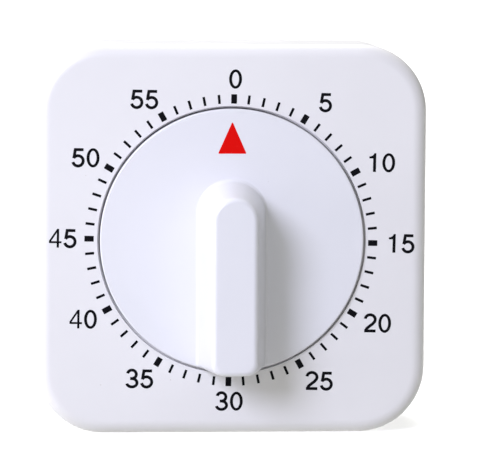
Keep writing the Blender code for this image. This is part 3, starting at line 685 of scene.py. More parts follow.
def place_piece(
    name: str,
    mesh: Mesh,
    finish: bpy.types.Material,
    body: str,
    stands_for: Sequence[str] = (),
) -> bpy.types.Object:
    """Make a finished piece of a mesh and hang it on its body.

    Args:
        name: the piece's name.
        mesh: its mesh, in place.
        finish: its material.
        body: the body that it moves with.
        stands_for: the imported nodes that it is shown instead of.

    Returns:
        The piece.
    """
    mesh.name = name
    mesh.materials.clear()
    mesh.materials.append(finish)
    piece = hold(mesh, name)
    if stands_for:
        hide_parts(*stands_for)
    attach(piece, body)
    LOG.info("%s: %d faces on %s", name, len(mesh.polygons), body)
    return piece


# ---------------------------------------------------------------- geometry nodes


class Tree:
    """A Geometry Nodes tree with named inputs, run once to give a plain mesh."""

    def __init__(self, name: str) -> None:
        """Start an empty tree with a geometry output."""
        self.group = bpy.data.node_groups.new(name, "GeometryNodeTree")
        self.group.interface.new_socket("Geometry", in_out="OUTPUT", socket_type="NodeSocketGeometry")
        self.entry = self.group.nodes.new("NodeGroupInput")
        self.values: dict[str, object] = {}

    def size(self, name: str, value: object, kind: str = "Float") -> bpy.types.NodeSocket:
        """Add a named input.

        Args:
            name: the input's name.
            value: what it is set to on the modifier.
            kind: Float, Int, Material or Object.

        Returns:
            The socket that carries it.
        """
        socket = self.group.interface.new_socket(
            name, in_out="INPUT", socket_type=f"NodeSocket{kind}"
        )
        self.values[socket.identifier] = value
        return self.entry.outputs[name]

    def node(
        self,
        kind: str,
        settings: dict | None = None,
        sockets: dict | None = None,
        output: str = "",
    ) -> bpy.types.NodeSocket:
        """Add a node.

        Args:
            kind: the node's type, without its common prefix.
            settings: properties of the node, which are set first.
            sockets: values or links of its inputs, by name or number.
            output: the output to give, or nothing for the first one in use.

        Returns:
            That output.
        """
        prefix = "" if kind.startswith(("Shader", "Function")) else "GeometryNode"
        made = self.group.nodes.new(prefix + kind)
        for key, value in (settings or {}).items():
            setattr(made, key, value)
        for key, value in (sockets or {}).items():
            if isinstance(value, bpy.types.NodeSocket):
                self.group.links.new(value, made.inputs[key])
            else:
                made.inputs[key].default_value = value
        if output:
            return made.outputs[output]
        return next(each for each in made.outputs if each.enabled)

    def maths(self, operation: str, *terms: object) -> bpy.types.NodeSocket:
        """The result of one Math node."""
        return self.node("ShaderNodeMath", {"operation": operation}, dict(enumerate(terms)))

    def clock(self, count: object, radius: object, first: object = 0.0) -> tuple:
        """Points round a circle, clockwise from the top.

        Args:
            count: how many there are.
            radius: the circle's radius.
            first: the angle of the first one, in radians.

        Returns:
            The points, and the rotation that stands an instance upright on each.
        """
        step = self.maths("DIVIDE", math.tau, count)
        turn = self.maths("MULTIPLY_ADD", self.node("InputIndex"), step, first)
        x = self.maths("MULTIPLY", self.maths("SINE", turn), radius)
        z = self.maths("MULTIPLY", self.maths("COSINE", turn), radius)
        around = self.node("ShaderNodeCombineXYZ", {}, {0: x, 1: z})
        line = self.node("MeshLine", {}, {"Count": count})
        points = self.node("SetPosition", {}, {"Geometry": line, "Position": around})
        spin = self.maths("MULTIPLY", turn, -1.0)
        return points, self.node("ShaderNodeCombineXYZ", {}, {2: spin})

    def every(self, count: int) -> bpy.types.NodeSocket:
        """True for each instance whose number is a multiple of count."""
        rest = self.maths("MODULO", self.node("InputIndex"), float(count))
        return self.node("FunctionNodeCompare", {"operation": "LESS_THAN"}, {0: rest, 1: 0.5})

    def run(self, shape: bpy.types.NodeSocket, finish: bpy.types.Material) -> Mesh:
        """Close the tree with Realize Instances and Set Material, and run it.

        Args:
            shape: the geometry to give out.
            finish: the material of the result.

        Returns:
            The plain mesh.
        """
        material = self.size("Finish", finish, "Material")
        real = self.node("RealizeInstances", {}, {0: shape})
        dressed = self.node("SetMaterial", {}, {"Geometry": real, "Material": material})
        exit_node = self.group.nodes.new("NodeGroupOutput")
        self.group.links.new(dressed, exit_node.inputs[0])
        piece = hold(bpy.data.meshes.new("seed"), "grown")
        modifier = piece.modifiers.new("grow", "NODES")
        modifier.node_group = self.group
        for identifier, value in self.values.items():
            modifier[identifier] = value
        return plain(piece)


def solid_fill(tree: Tree, curve: bpy.types.NodeSocket, height: object) -> bpy.types.NodeSocket:
    """Fill a flat curve and give it a thickness.

    Args:
        tree: the tree to add to.
        curve: closed curves on the XY plane; one inside another is a hole.
        height: the thickness, towards +Z.

    Returns:
        A closed mesh.
    """
    flat = tree.node("FillCurve", {"mode": "TRIANGLES"}, {0: curve})
    growth = {"Mesh": flat, "Offset Scale": height, "Individual": False}
    raised = tree.node("ExtrudeMesh", {"mode": "FACES"}, growth)
    under = tree.node("FlipFaces", {}, {0: flat})
    both = tree.group.nodes.new("GeometryNodeJoinGeometry")
    tree.group.links.new(raised, both.inputs[0])
    tree.group.links.new(under, both.inputs[0])
    return tree.node("MergeByDistance", {}, {"Geometry": both.outputs[0], "Distance": TOUCH})


# ---------------------------------------------------------------- case


@dataclass
class RoundedSquare:
    """The outline of the case: a square with round corners, seen from the front."""

    half: float
    corner: float
    corner_steps: int = 24
    side_steps: int = 24

    def directions(self) -> list[float]:
        """The angles of its points: even along the sides, and even round the corners."""
        reach = self.half - self.corner
        edge = math.degrees(math.atan2(reach, self.half))
        found = []
        for quarter in range(4):
            for i in range(self.side_steps):
                found.append(90.0 * quarter - edge + 2 * edge * i / self.side_steps)
            for i in range(self.corner_steps):
                x, z = polar(self.corner, 90.0 * i / self.corner_steps, (reach, reach))
                found.append(90.0 * quarter + math.degrees(math.atan2(z, x)))
        return found

    def outline(self, inset: float = 0.0) -> list[Point]:
        """Its points, moved in by an inset.

        Args:
            inset: the distance from the outer edge.

        Returns:
            One point for each direction.
        """
        half, corner = self.half - inset, self.corner - inset
        centre = half - corner
        points = []
        for direction in self.directions():
            turn = math.radians(direction)
            c, s = abs(math.cos(turn)), abs(math.sin(turn))
            reach = half / max(c, s)
            if reach * min(c, s) > centre:
                along = centre * (c + s)
                reach = along + math.sqrt(along**2 - 2 * centre**2 + corner**2)
            points.append(polar(reach, direction))
        return points

    def circle(self, radius: float) -> list[Point]:
        """A circle with one point in each of the outline's directions."""
        return [polar(radius, direction) for direction in self.directions()]


@dataclass
class CaseFront:
    """The front shell: face and sides, the dial's well, and the bosses for the screws."""

    corner: float = 0.013
    fillet: float = 0.0027
    wall: float = 0.002
    depth: float = 0.0243
    rim_edge: float = 0.0002
    well_radius: float = 0.0261
    well_edge: float = 0.00012
    groove_depth: float = 0.0014
    groove_ledge: float = 0.0003
    well_depth: float = 0.004
    floor: float = 0.0018
    cup_wall: float = 0.0016
    arbor_hole: float = 0.0034
    screw_circle: float = 0.017
    screw_hole: float = 0.0013
    boss_at: float = 0.0305
    boss_radius: float = 0.0035
    boss_hole: float = 0.00135
    stop_from: float = 0.0212
    stop_to: float = 0.0236
    stop_width: float = 0.001
    stop_angle: float = 225.0
    rib_front: float = 0.4
    support: float = 0.0002
    bore_length: float = 0.0103
    edge_steps: int = 14

    def square(self) -> RoundedSquare:
        """The case's outline."""
        lowest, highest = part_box("front_housing")
        return RoundedSquare((highest.x - lowest.x) / 2, self.corner)

    def shell(self) -> Mesh:
        """The shell without what is cut and fused afterwards."""
        square = self.square()
        rings = [ring_at(square.outline(self.wall), self.depth)]
        rings.append(ring_at(square.outline(self.rim_edge), self.depth))
        rings.append(ring_at(square.outline(), self.depth - self.rim_edge))
        rings.append(ring_at(square.outline(), self.fillet + self.support))
        for inset, drop in round_steps(self.fillet, self.edge_steps):
            rings.append(ring_at(square.outline(inset), drop))
        rings.append(ring_at(square.outline(self.fillet + self.support), 0.0))

        well = self.well_radius
        rings.append(ring_at(square.circle(well + self.well_edge + self.support), 0.0))
        for inset, drop in reversed(round_steps(self.well_edge, 5)):
            rings.append(ring_at(square.circle(well + inset), drop))
        ledge, cup = well - self.groove_ledge, well + self.cup_wall
        under = self.well_depth + self.floor
        for radius, depth in (
            (well, self.groove_depth),
            (ledge, self.groove_depth),
            (ledge, self.groove_depth * 2),
            (well, self.groove_depth * 2),
            (well, self.well_depth),
            (self.arbor_hole, self.well_depth),
            (self.arbor_hole, under),
            (cup, under),
            (cup, self.wall),
        ):
            rings.append(ring_at(square.circle(radius), depth))
        rings.append(ring_at(square.outline(self.wall + self.wall / 2), self.wall))
        rings.append(ring_at(square.outline(self.wall), self.wall * 1.5))
        return loft("front_shell", rings, closed=True)

    def bosses(self) -> Mesh:
        """The screw bosses in the corners, with their bores."""
        made = []
        top, bore = self.wall * 0.75, self.depth - self.bore_length
        hole = self.boss_hole
        for at in four_corners(self.boss_at):
            profile = [(0.0, top), (self.boss_radius, top), (self.boss_radius, self.depth)]
            profile += [(hole + CHAMFER, self.depth), (hole, self.depth - CHAMFER)]
            profile += [(hole, bore), (0.0, bore)]
            made.append(turned("boss", profile, at, 40))
        return joined("bosses", made)

    def stop_outline(self, degrees: float) -> list[Point]:
        """The outline of a radial stop at this angle."""
        half = self.stop_width / 2
        return spun(rectangle(self.stop_from, -half, self.stop_to, half), degrees)

    def stop_rib(self) -> Mesh:
        """The rib on the well's floor that the dial's lug meets at either end."""
        outline = self.stop_outline(self.stop_angle)
        return prism(outline, self.well_depth * self.rib_front, self.well_depth + OVERLAP)

    def build(self) -> None:
        """Make the shell and put it in place."""
        mesh = combined(self.shell(), self.bosses(), "UNION")
        mesh = combined(mesh, self.stop_rib(), "UNION")
        front, back = self.well_depth - OVERCUT, self.well_depth + self.floor + OVERCUT
        places = [polar(self.screw_circle, degrees) for degrees in SCREW_ANGLES]
        cut = self.screw_hole
        holes = [prism(circle(cut, 32), front, back, place) for place in places]
        mesh = combined(mesh, joined("screw_holes", holes), "DIFFERENCE")
        finish = CASE_PLASTIC.material("case_plastic", Vector((0.0, 0.0, AXIS_Z)))
        place_piece("case_front", mesh, finish, "case", ["front_housing"])


@dataclass
class RearCover:
    """The back shell: sound slots, screw wells, magnet pockets, lips and pads."""

    front: float = 0.0247
    back: float = 0.029
    plate: float = 0.0022
    fillet: float = 0.002
    edge: float = 0.00025
    rim_edge: float = 0.0002
    lip_reach: float = 0.018
    lip_wall: float = 0.0013
    lip_front: float = 0.0226
    lip_gap: float = 0.0003
    well_depth: float = 0.0017
    well_radius: float = 0.0033
    screw_hole: float = 0.0015
    magnet_at: float = 0.027
    pocket_radius: float = 0.00515
    pocket_depth: float = 0.0021
    pocket_wall: float = 0.0013
    pad_front: float = 0.025
    slots: int = 7
    slot_pitch: float = 0.0042
    slot_length: float = 0.025
    slot_width: float = 0.0018

    def shell(self, case: CaseFront) -> Mesh:
        """The tray itself, with its lips and pads.

        Args:
            case: the front shell, whose outline it shares.

        Returns:
            The mesh before anything is cut.
        """
        square = case.square()
        inner = self.back - self.plate
        rings = [ring_at(square.outline(case.wall), self.front)]
        rings.append(ring_at(square.outline(self.rim_edge), self.front))
        rings.append(ring_at(square.outline(), self.front + self.rim_edge))
        for inset, drop in round_steps(self.fillet, 12):
            rings.append(ring_at(square.outline(inset), self.back - drop))
        rings.append(ring_at(square.outline(self.fillet + case.support), self.back))
        outside = loft("cover_outside", rings)
        tray = [ring_at(square.outline(case.wall), self.front - OVERCUT)]
        tray.append(ring_at(square.outline(case.wall), inner - OVERLAP))
        tray.append(ring_at(square.outline(case.wall + OVERLAP), inner))
        mesh = combined(outside, loft("tray", tray), "DIFFERENCE")
        return combined(mesh, self.lips_and_pads(case, inner), "UNION")

    def lips_and_pads(self, case: CaseFront, inner: float) -> Mesh:
        """What stands on the inside of the tray.

        Args:
            case: the front shell.
            inner: the depth of the tray's floor.

        Returns:
            The separate bodies.
        """
        outer = case.square().half - case.wall - self.lip_gap
        bar = rectangle(-self.lip_reach, outer - self.lip_wall, self.lip_reach, outer)
        end = inner + OVERLAP
        made = []
        for quarter in range(4):
            made.append(prism(spun(bar, QUARTER * quarter), self.lip_front, end))
        for at in four_corners(case.boss_at):
            made.append(prism(circle(case.boss_radius, 40), self.front, end, at))
        pad = self.pocket_radius + self.pocket_wall
        for side in (-1, 1):
            place = (0.0, side * self.magnet_at)
            made.append(prism(circle(pad, 48), self.pad_front, end, place))
        return joined("cover_inside", made)

    def recess(self, radius: float, depth: float, through: float, at: Point) -> Mesh:
        """A cutter for a round recess with a chamfered mouth and a hole through its floor."""
        top, edge = self.back, self.edge
        profile = [(0.0, top + OVERCUT), (radius + edge + OVERCUT, top + OVERCUT)]
        profile += [(radius + edge, top), (radius, top - edge), (radius, top - depth)]
        if through:
            profile += [(through, top - depth), (through, self.front - OVERCUT)]
        profile.append((0.0, profile[-1][1]))
        return turned("recess", profile, at, 56)

    def slot_cutters(self) -> Mesh:
        """The cutters of the sound slots, repeated up the middle of the cover."""
        tree = Tree("sound_slots")
        rows = tree.size("Rows", self.slots, "Int")
        pitch = tree.size("Pitch", self.slot_pitch)
        reach = (self.slot_length - self.slot_width) / 2
        rings = []
        for grow, depth in (
            (0.0, self.back - self.plate - OVERCUT),
            (0.0, self.back - self.edge),
            (self.edge, self.back),
            (self.edge + OVERCUT, self.back + OVERCUT),
        ):
            half = self.slot_width / 2 + grow
            right = arc(half, -90.0, 90.0, 12, (reach, 0.0))
            left = arc(half, 90.0, 270.0, 12, (-reach, 0.0))
            rings.append(ring_at(right + left, depth))
        one = hold(loft("slot", rings), "slot_cutter")
        source = {"Object": tree.size("Slot", one, "Object")}
        shape = tree.node("ObjectInfo", {}, source, "Geometry")
        start = tree.maths("MULTIPLY", tree.maths("SUBTRACT", rows, 1.0), -0.5)
        low = tree.node("ShaderNodeCombineXYZ", {}, {2: tree.maths("MULTIPLY", start, pitch)})
        rise = tree.node("ShaderNodeCombineXYZ", {}, {2: pitch})
        line = tree.node("MeshLine", {}, {"Count": rows, "Start Location": low, "Offset": rise})
        repeated = tree.node("InstanceOnPoints", {}, {"Points": line, "Instance": shape})
        made = tree.run(repeated, bpy.data.materials.new("cutter"))
        bpy.data.objects.remove(one, do_unlink=True)
        return made

    def build(self, case: CaseFront) -> None:
        """Make the cover and put it in place."""
        mesh = self.shell(case)
        cuts = []
        for at in four_corners(case.boss_at):
            cuts.append(self.recess(self.well_radius, self.well_depth, self.screw_hole, at))
        for side in (-1, 1):
            place = (0.0, side * self.magnet_at)
            cuts.append(self.recess(self.pocket_radius, self.pocket_depth, 0.0, place))
        mesh = combined(mesh, joined("recesses", cuts), "DIFFERENCE")
        mesh = combined(mesh, self.slot_cutters(), "DIFFERENCE")
        finish = CASE_PLASTIC.material("cover_plastic", Vector((0.01, 0.0, AXIS_Z)))
        place_piece("back_cover", mesh, finish, "case", ["rear_cover"])


# ---------------------------------------------------------------- printed scale


class Numeral:
    """Digits as flat shapes one unit high, made of strokes of one weight."""

    weight = 0.158
    width = 0.7
    advance = 0.785
    sharpest = 0.3

    def oval(
        self, at: Point, radii: Point, start: float, end: float, steps: int = 28
    ) -> list[Point]:
        """Points along part of an oval."""
        found = []
        for i in range(steps + 1):
            x, z = polar(1.0, start + (end - start) * i / steps)
            found.append((at[0] + radii[0] * x, at[1] + radii[1] * z))
        return found

    def stroke(self, path: Sequence[Point]) -> list[Point]:
        """The outline of a stroke of the digits' weight along a path."""
        spots = [Vector(spot) for spot in path]
        ways = [(after - here).normalized() for here, after in zip(spots, spots[1:])]
        left, right = [], []
        for i, here in enumerate(spots):
            into = ways[max(i - 1, 0)]
            out = ways[min(i, len(ways) - 1)]
            along = (into + out).normalized()
            mitre = max(along.dot(into), self.sharpest)
            side = Vector((-along.y, along.x)) * self.weight / 2 / mitre
            left.append(tuple(here + side))
            right.append(tuple(here - side))
        return left + right[::-1]

    def shapes(self, digit: int) -> list[list[list[Point]]]:
        """The parts of a digit.

        Args:
            digit: 0 to 5.

        Returns:
            Parts that overlap, each an outer edge followed by its holes.
        """
        half = self.weight / 2
        if digit == 0:
            centre, reach = (0.345, 0.5), (0.342, 0.512)
            outer = self.oval(centre, reach, 0.0, FULL_TURN, 64)[:-1]
            hole = (reach[0] - self.weight, reach[1] - 0.9 * self.weight)
            inner = self.oval(centre, hole, 0.0, FULL_TURN, 64)[:-1]
            return [[outer, inner]]
        if digit == 1:
            stem = (0.455 - self.weight, 0.455)
            flag = self.oval((0.09, 1.0), (0.25, 0.18), 0.0, -90.0, 8)[1:]
            foot = [(0.09, 0.715), (stem[0], 0.715), (stem[0], 0.0)]
            return [[[(stem[1], 0.0), (stem[1], 1.0), (0.35, 1.0), *flag, *foot]]]
        if digit == 2:
            bowl = self.oval((0.345, 0.7), (0.27, 0.25), 172.0, -28.0)
            path = [*bowl, (0.47, 0.45), (0.3, 0.32), (0.17, 0.21), (0.105, 0.05)]
            return [[self.stroke(path)], [self.stroke([(0.035, half), (0.65, half)])]]
        if digit == 3:
            upper = self.oval((0.33, 0.725), (0.235, 0.228), 168.0, -90.0)
            lower = self.oval((0.335, 0.272), (0.275, 0.225), 90.0, -168.0)
            upper.append((0.24, 0.497))
            return [[self.stroke(upper)], [self.stroke([(0.24, 0.497), *lower])]]
        if digit == 4:
            outer = [(0.425, 0.0), (0.545, 0.0), (0.545, 0.235), (0.68, 0.235), (0.68, 0.34)]
            outer += [(0.545, 0.34), (0.545, 1.0), (0.44, 1.0), (0.015, 0.36), (0.015, 0.235)]
            outer.append((0.425, 0.235))
            return [[outer, [(0.425, 0.34), (0.125, 0.34), (0.425, 0.8)]]]
        bar = [(0.62, 1.0 - half), (0.185, 1.0 - half), (0.115, 0.46)]
        bowl = self.oval((0.335, 0.325), (0.275, 0.275), 148.0, -166.0)
        return [[self.stroke(bar)], [self.stroke(bowl)]]

    def mesh(self, digit: int, height: float, front: float, back: float, at: Point) -> Mesh:
        """One digit as a closed film.

        Args:
            digit: 0 to 5.
            height: the digit's height.
            front: the depth of the film's front.
            back: the depth of its back.
            at: the place of its lower left corner, from the dial's axis.

        Returns:
            The film.
        """
        made = None
        for part in self.shapes(digit):
            edges = [[(x * height, z * height) for x, z in edge] for edge in part]
            film = sheet("digit", edges[0], edges[1:], front, back, at)
            made = combined(made, film, "UNION") if made else film
        return made


@dataclass
class MinuteScale:
    """What is printed on the case: sixty strokes, twelve of them bold, and the numbers."""

    minutes: int = 60
    bold_every: int = 5
    ring_radius: float = 0.0276
    stroke_length: float = 0.00176
    stroke_width: float = 0.0005
    bold_width: float = 0.00112
    bold_length: float = 0.0018
    corner: float = 0.00006
    film: float = 0.00004
    number_height: float = 0.00365
    number_across: float = 0.0329
    number_up: float = 0.03145
    number_spread: float = 0.12
    number_shift: float = 0.00022
    slip: float = -0.95
    shift: Point = (-0.0001, -0.0001)

    def strokes(self, finish: bpy.types.Material) -> Mesh:
        """The ring of strokes, grown by a node tree."""
        tree = Tree("minute_strokes")
        count = tree.size("Minutes", self.minutes, "Int")
        radius = tree.size("Ring radius", self.ring_radius)
        film = tree.size("Film", self.film)
        corner = tree.size("Corner", self.corner)
        points, upright = tree.clock(count, radius)
        is_bold = tree.every(self.bold_every)
        ring = tree.group.nodes.new("GeometryNodeJoinGeometry")
        for label, width, length in (
            ("Bold", self.bold_width, self.bold_length),
            ("Fine", self.stroke_width, self.stroke_length),
        ):
            sizes = {
                "Width": tree.size(f"{label} width", width),
                "Height": tree.size(f"{label} length", length),
            }
            bar = tree.node("CurvePrimitiveQuadrilateral", {}, sizes)
            rounding = {"Curve": bar, "Radius": corner, "Count": 4}
            bar = tree.node("FilletCurve", {"mode": "POLY"}, rounding)
            chosen = is_bold
            if label == "Fine":
                chosen = tree.node("FunctionNodeBooleanMath", {"operation": "NOT"}, {0: is_bold})
            sockets = {"Points": points, "Instance": solid_fill(tree, bar, film)}
            sockets |= {"Selection": chosen, "Rotation": upright}
            copies = tree.node("InstanceOnPoints", {}, sockets)
            tree.group.links.new(copies, ring.inputs[0])
        return tree.run(ring.outputs[0], finish)

    def numbers(self) -> list[Mesh]:
        """The twelve numbers, upright, on an oval round the strokes."""
        pen = Numeral()
        film = self.film / 2
        made = []
        for minute in range(0, self.minutes, self.bold_every):
            turn = math.tau * minute / self.minutes
            spread = 1.0 + self.number_spread * math.cos(turn) ** 4
            x = self.number_across * math.sin(turn) * spread + self.number_shift
            z = self.number_up * math.cos(turn)
            digits = [int(mark) for mark in str(minute)]
            height = self.number_height
            wide = (pen.width + pen.advance * (len(digits) - 1)) * height
            for i, digit in enumerate(digits):
                corner = (x - wide / 2 + i * pen.advance * height, z - height / 2)
                made.append(pen.mesh(digit, height, -film, film, corner))
        return made

    def build(self) -> None:
        """Print the scale on the case's face."""
        ink = BLACK_INK.material("scale_ink", Vector((0.0, 0.0, AXIS_Z)))
        strokes = self.strokes(ink)
        place = Matrix.Translation((0.0, FACE_Y + self.film / 2, AXIS_Z))
        strokes.transform(place @ ONTO_FACE)
        slip = Matrix.Rotation(math.radians(-self.slip), 4, "Y")
        there = Matrix.Translation((self.shift[0], 0.0, AXIS_Z + self.shift[1]))
        back = Matrix.Translation((0.0, 0.0, -AXIS_Z))
        for name, mesh in (
            ("minute_strokes", strokes),
            ("minute_numbers", joined("numbers", self.numbers())),
        ):
            mesh.transform(there @ slip @ back)
            place_piece(name, mesh, ink, "case")


# ---------------------------------------------------------------- dial


@dataclass
class Dial:
    """The dial: one moulding of a disc, a grip, a socket and a stop lug."""

    radius: float = 0.0256
    proud: float = 0.001
    rim_edge: float = 0.0003
    skirt: float = 0.0034
    skirt_wall: float = 0.0016
    web: float = 0.001
    hub: float = 0.005
    grip_height: float = 0.014
    grip_half: float = 0.0065
    grip_top: float = 0.0051
    side_taper: float = 0.0022
    end_taper: float = 0.0008
    grip_corner: float = 0.002
    root_corner: float = 0.0006
    grip_edge: float = 0.0009
    root_flare: float = 0.0007
    rim_margin: float = 0.0002
    socket: float = 0.00215
    socket_flat: float = 0.00145
    socket_depth: float = 0.004
    lug_angle: float = 222.0
    side_steps: int = 16
    wall_steps: int = 8
    root_bend: float = 72.0
    support: float = 0.0002
    hollow_depth: float = 0.012
    hollow_top: float = -0.0066
    hollow_mouth: Point = (0.0044, -0.0226)
    hollow_end: Point = (0.0026, -0.0212)
    mark_tip: float = 0.02315
    mark_base: float = 0.01695
    mark_half: float = 0.00276
    mark_corner: float = 0.00012
    mark_film: float = 0.00004

    def grip_outline(self, height: float, inset: float = 0.0, flare: float = 0.0) -> list[Point]:
        """The grip's outline, seen from the front.

        Args:
            height: how far over the disc it is taken.
            inset: how far the edge rounding has moved it in.
            flare: how far the root's rounding has moved its sides out.

        Returns:
            The points, anticlockwise from the right.
        """
        part = height / self.grip_height
        half = self.grip_half - self.side_taper * part - inset + flare
        end = self.radius - self.rim_margin - self.end_taper * part - inset
        corner = self.root_corner + (self.grip_corner - self.root_corner) * part
        low = math.sqrt((end - corner) ** 2 - (half - corner) ** 2)
        spread = math.degrees(math.atan2(low, half - corner))
        points = arc(half, 0.0, 180.0, 48, (0.0, self.grip_top))
        side = [-low + (self.grip_top + low) * i / self.side_steps for i in range(1, self.side_steps)]
        points += [(-half, z) for z in reversed(side)]
        points += arc(corner, 180.0, 180.0 + spread, 14, (corner - half, -low))
        points += arc(end, 180.0 + spread, FULL_TURN - spread, 16)[1:-1]
        points += arc(corner, FULL_TURN - spread, FULL_TURN, 14, (half - corner, -low))
        points += [(half, z) for z in side]
        return points

    def grip(self) -> Mesh:
        """The grip, from under the disc's face to its rounded front."""
        face = -self.proud
        rings = [ring_at(self.grip_outline(0.0, 0.0, self.root_flare), face + self.web)]
        for out, height in reversed(round_steps(self.root_flare, 6, self.root_bend)):
            rings.append(ring_at(self.grip_outline(height, 0.0, out), face - height))
        rise = self.grip_height - self.grip_edge - self.root_flare
        for part in range(1, self.wall_steps):
            height = self.root_flare + rise * part / self.wall_steps
            rings.append(ring_at(self.grip_outline(height), face - height))
        for inset, drop in round_steps(self.grip_edge, 12):
            height = self.grip_height - drop
            rings.append(ring_at(self.grip_outline(height, inset), face - height))
        last = self.grip_outline(self.grip_height, self.grip_edge + self.support)
        rings.append(ring_at(last, face - self.grip_height))
        return loft("grip", rings)

    def disc(self) -> Mesh:
        """The disc with its rolled rim, its skirt and the hub behind it."""
        face = -self.proud
        profile = [(0.0, face), (self.radius - self.rim_edge - self.support, face)]
        for inset, drop in reversed(round_steps(self.rim_edge, 10)):
            profile.append((self.radius - inset, face + drop))
        inner = self.radius - self.skirt_wall
        profile += [(self.radius, self.skirt), (inner, self.skirt), (inner, self.web)]
        profile += [(self.hub, self.web), (self.hub, self.skirt), (0.0, self.skirt)]
        return turned("disc", profile, steps=192)

    def build(self, case: CaseFront) -> None:
        """Make the dial and print its mark.

        Args:
            case: the front shell, whose stop the lug meets.
        """
        mesh = combined(self.disc(), self.grip(), "UNION")
        lug = prism(case.stop_outline(self.lug_angle), 0.0, self.skirt)
        mesh = combined(mesh, lug, "UNION")
        rings = []
        for (half, low), depth in (
            (self.hollow_mouth, self.web * 2),
            (self.hollow_end, -self.hollow_depth),
        ):
            rings.append(ring_at(rectangle(-half, low, half, self.hollow_top), depth))
        mesh = combined(mesh, loft("hollow", rings), "DIFFERENCE")
        flatted = [(x, min(z, self.socket_flat)) for x, z in circle(self.socket, 48)]
        bore = prism(flatted, -self.socket_depth, self.skirt + OVERCUT)
        mesh = combined(mesh, bore, "DIFFERENCE")
        centre = Vector((0.0, 0.0, AXIS_Z))
        finish = DIAL_PLASTIC.material("dial_plastic", centre)
        place_piece("dial_and_grip", mesh, finish, "dial", ["dial_knob"])

        film = self.mark_film / 2
        corners = [(-self.mark_half, self.mark_base), (self.mark_half, self.mark_base)]
        corners.append((0.0, self.mark_tip))
        outline = rounded(corners, self.mark_corner)
        mark = prism(outline, -self.proud - film, -self.proud + film)
        red = RED_INK.material("mark_ink", centre)
        place_piece("dial_mark", mark, red, "dial")


def rounded(corners: Sequence[Point], radius: float, steps: int = 5) -> list[Point]:
    """A polygon with its corners rounded.

    Args:
        corners: the polygon, anticlockwise.
        radius: the rounding's radius.
        steps: how many facets each rounding has.

    Returns:
        The new outline.
    """
    found = []
    for i, here in enumerate(corners):
        corner = Vector(here)
        into = (corner - Vector(corners[i - 1])).normalized()
        out = (Vector(corners[(i + 1) % len(corners)]) - corner).normalized()
        bend = into.angle(out)
        inward = (out - into).normalized()
        middle = corner + inward * radius / math.cos(bend / 2)
        start = math.degrees(math.atan2(into.y, into.x)) - QUARTER
        found += arc(radius, start, start + math.degrees(bend), steps, tuple(middle))
    return found


# ---------------------------------------------------------------- screws and magnets


@dataclass(frozen=True)
class Screw:
    """A pan-head screw with a cross recess and a rolled thread."""

    head: float = 0.0029
    head_height: float = 0.00145
    shank: float = 0.0012
    thread: float = 0.00018
    pitch: float = 0.0008
    rings_per_turn: int = 6
    steps: int = 36
    ridge: float = 3.0
    fade_turns: float = 2.5
    point_turns: float = 3.0
    point: float = 0.35
    dome: float = 0.72
    dome_power: float = 0.8
    dome_steps: int = 7
    edge: float = 0.0002
    recess_reach: float = 0.58
    recess_turn: float = 20.0
    recess_arm: Point = (0.1, 0.03)
    recess_throat: float = 1.25
    recess_levels: tuple[Point, ...] = ((0.35, 0.0011), (0.62, 0.0008), (1.0, -0.0002))

    def body(self, seat: float, end: float, at: Point, facing: float) -> Mesh:
        """The screw without its recess.

        Args:
            seat: the depth of the underside of its head.
            end: the depth of its tip.
            at: its place, measured from the dial's axis.
            facing: 1 when the head looks to the back and -1 to the front.

        Returns:
            The mesh.
        """
        top = seat + facing * self.head_height
        rings = [ring_at([(0.0, 0.0)], top, at)]
        for part in range(1, self.dome_steps + 1):
            turn = math.radians(QUARTER * part / self.dome_steps)
            share = 1.0
            if part < self.dome_steps:
                share = 1 - math.cos(turn) ** self.dome_power
            drop = facing * self.head_height * self.dome * share
            rings.append(ring_at(circle(self.head * math.sin(turn), self.steps), top - drop, at))
        rings.append(ring_at(circle(self.head, self.steps), seat + facing * self.edge, at))
        rings.append(ring_at(circle(self.head - self.edge, self.steps), seat, at))
        length = abs(end - seat)
        core = self.shank - self.thread
        count = int(length / self.pitch * self.rings_per_turn)
        for i in range(count + 1):
            along = length * i / count
            outline = []
            for k in range(self.steps):
                phase = (along / self.pitch - k / self.steps) % 1.0
                ridge = max(0.0, 1.0 - abs(phase - 0.5) * self.ridge)
                left = (length - along) / self.pitch
                fade = min(1.0, left / self.fade_turns, along / self.pitch)
                taper = min(1.0, self.point + left / self.point_turns)
                reach = core * taper + self.thread * ridge * fade
                outline.append(polar(reach, FULL_TURN * k / self.steps))
            rings.append(ring_at(outline, seat - facing * along, at))
        return loft("screw", rings)

    def recess(self, seat: float, at: Point, facing: float) -> Mesh:
        """The cutter of the cross recess, narrower at its foot.

        Args:
            seat: the depth of the underside of the head.
            at: the screw's place.
            facing: the way the head looks.

        Returns:
            The cutter.
        """
        top = seat + facing * self.head_height
        rings = []
        least, growth = self.recess_arm
        for scale, drop in self.recess_levels:
            reach = self.head * self.recess_reach * scale
            half = self.head * (least + growth * scale)
            throat = half * self.recess_throat
            arm = [(reach, -half), (reach, half), (throat, throat)]
            outline = []
            for quarter in range(4):
                outline += spun(arm, QUARTER * quarter + self.recess_turn)
            rings.append(ring_at(outline, top - facing * drop, at))
        return loft("recess", rings)

    def build(self, name: str, at: Point, depths: Point, facing: float) -> None:
        """Make the screw and put it in place.

        Args:
            name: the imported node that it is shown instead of.
            at: its place.
            depths: the depths of its seat and its tip.
            facing: the way the head looks.
        """
        body = self.body(depths[0], depths[1], at, facing)
        mesh = combined(body, self.recess(depths[0], at, facing), "DIFFERENCE")
        centre = Vector((at[0], FACE_Y + depths[0], AXIS_Z + at[1]))
        finish = SCREW_ZINC.material(f"{name}_zinc", centre)
        place_piece(f"{name}_threaded", mesh, finish, "case", [name])


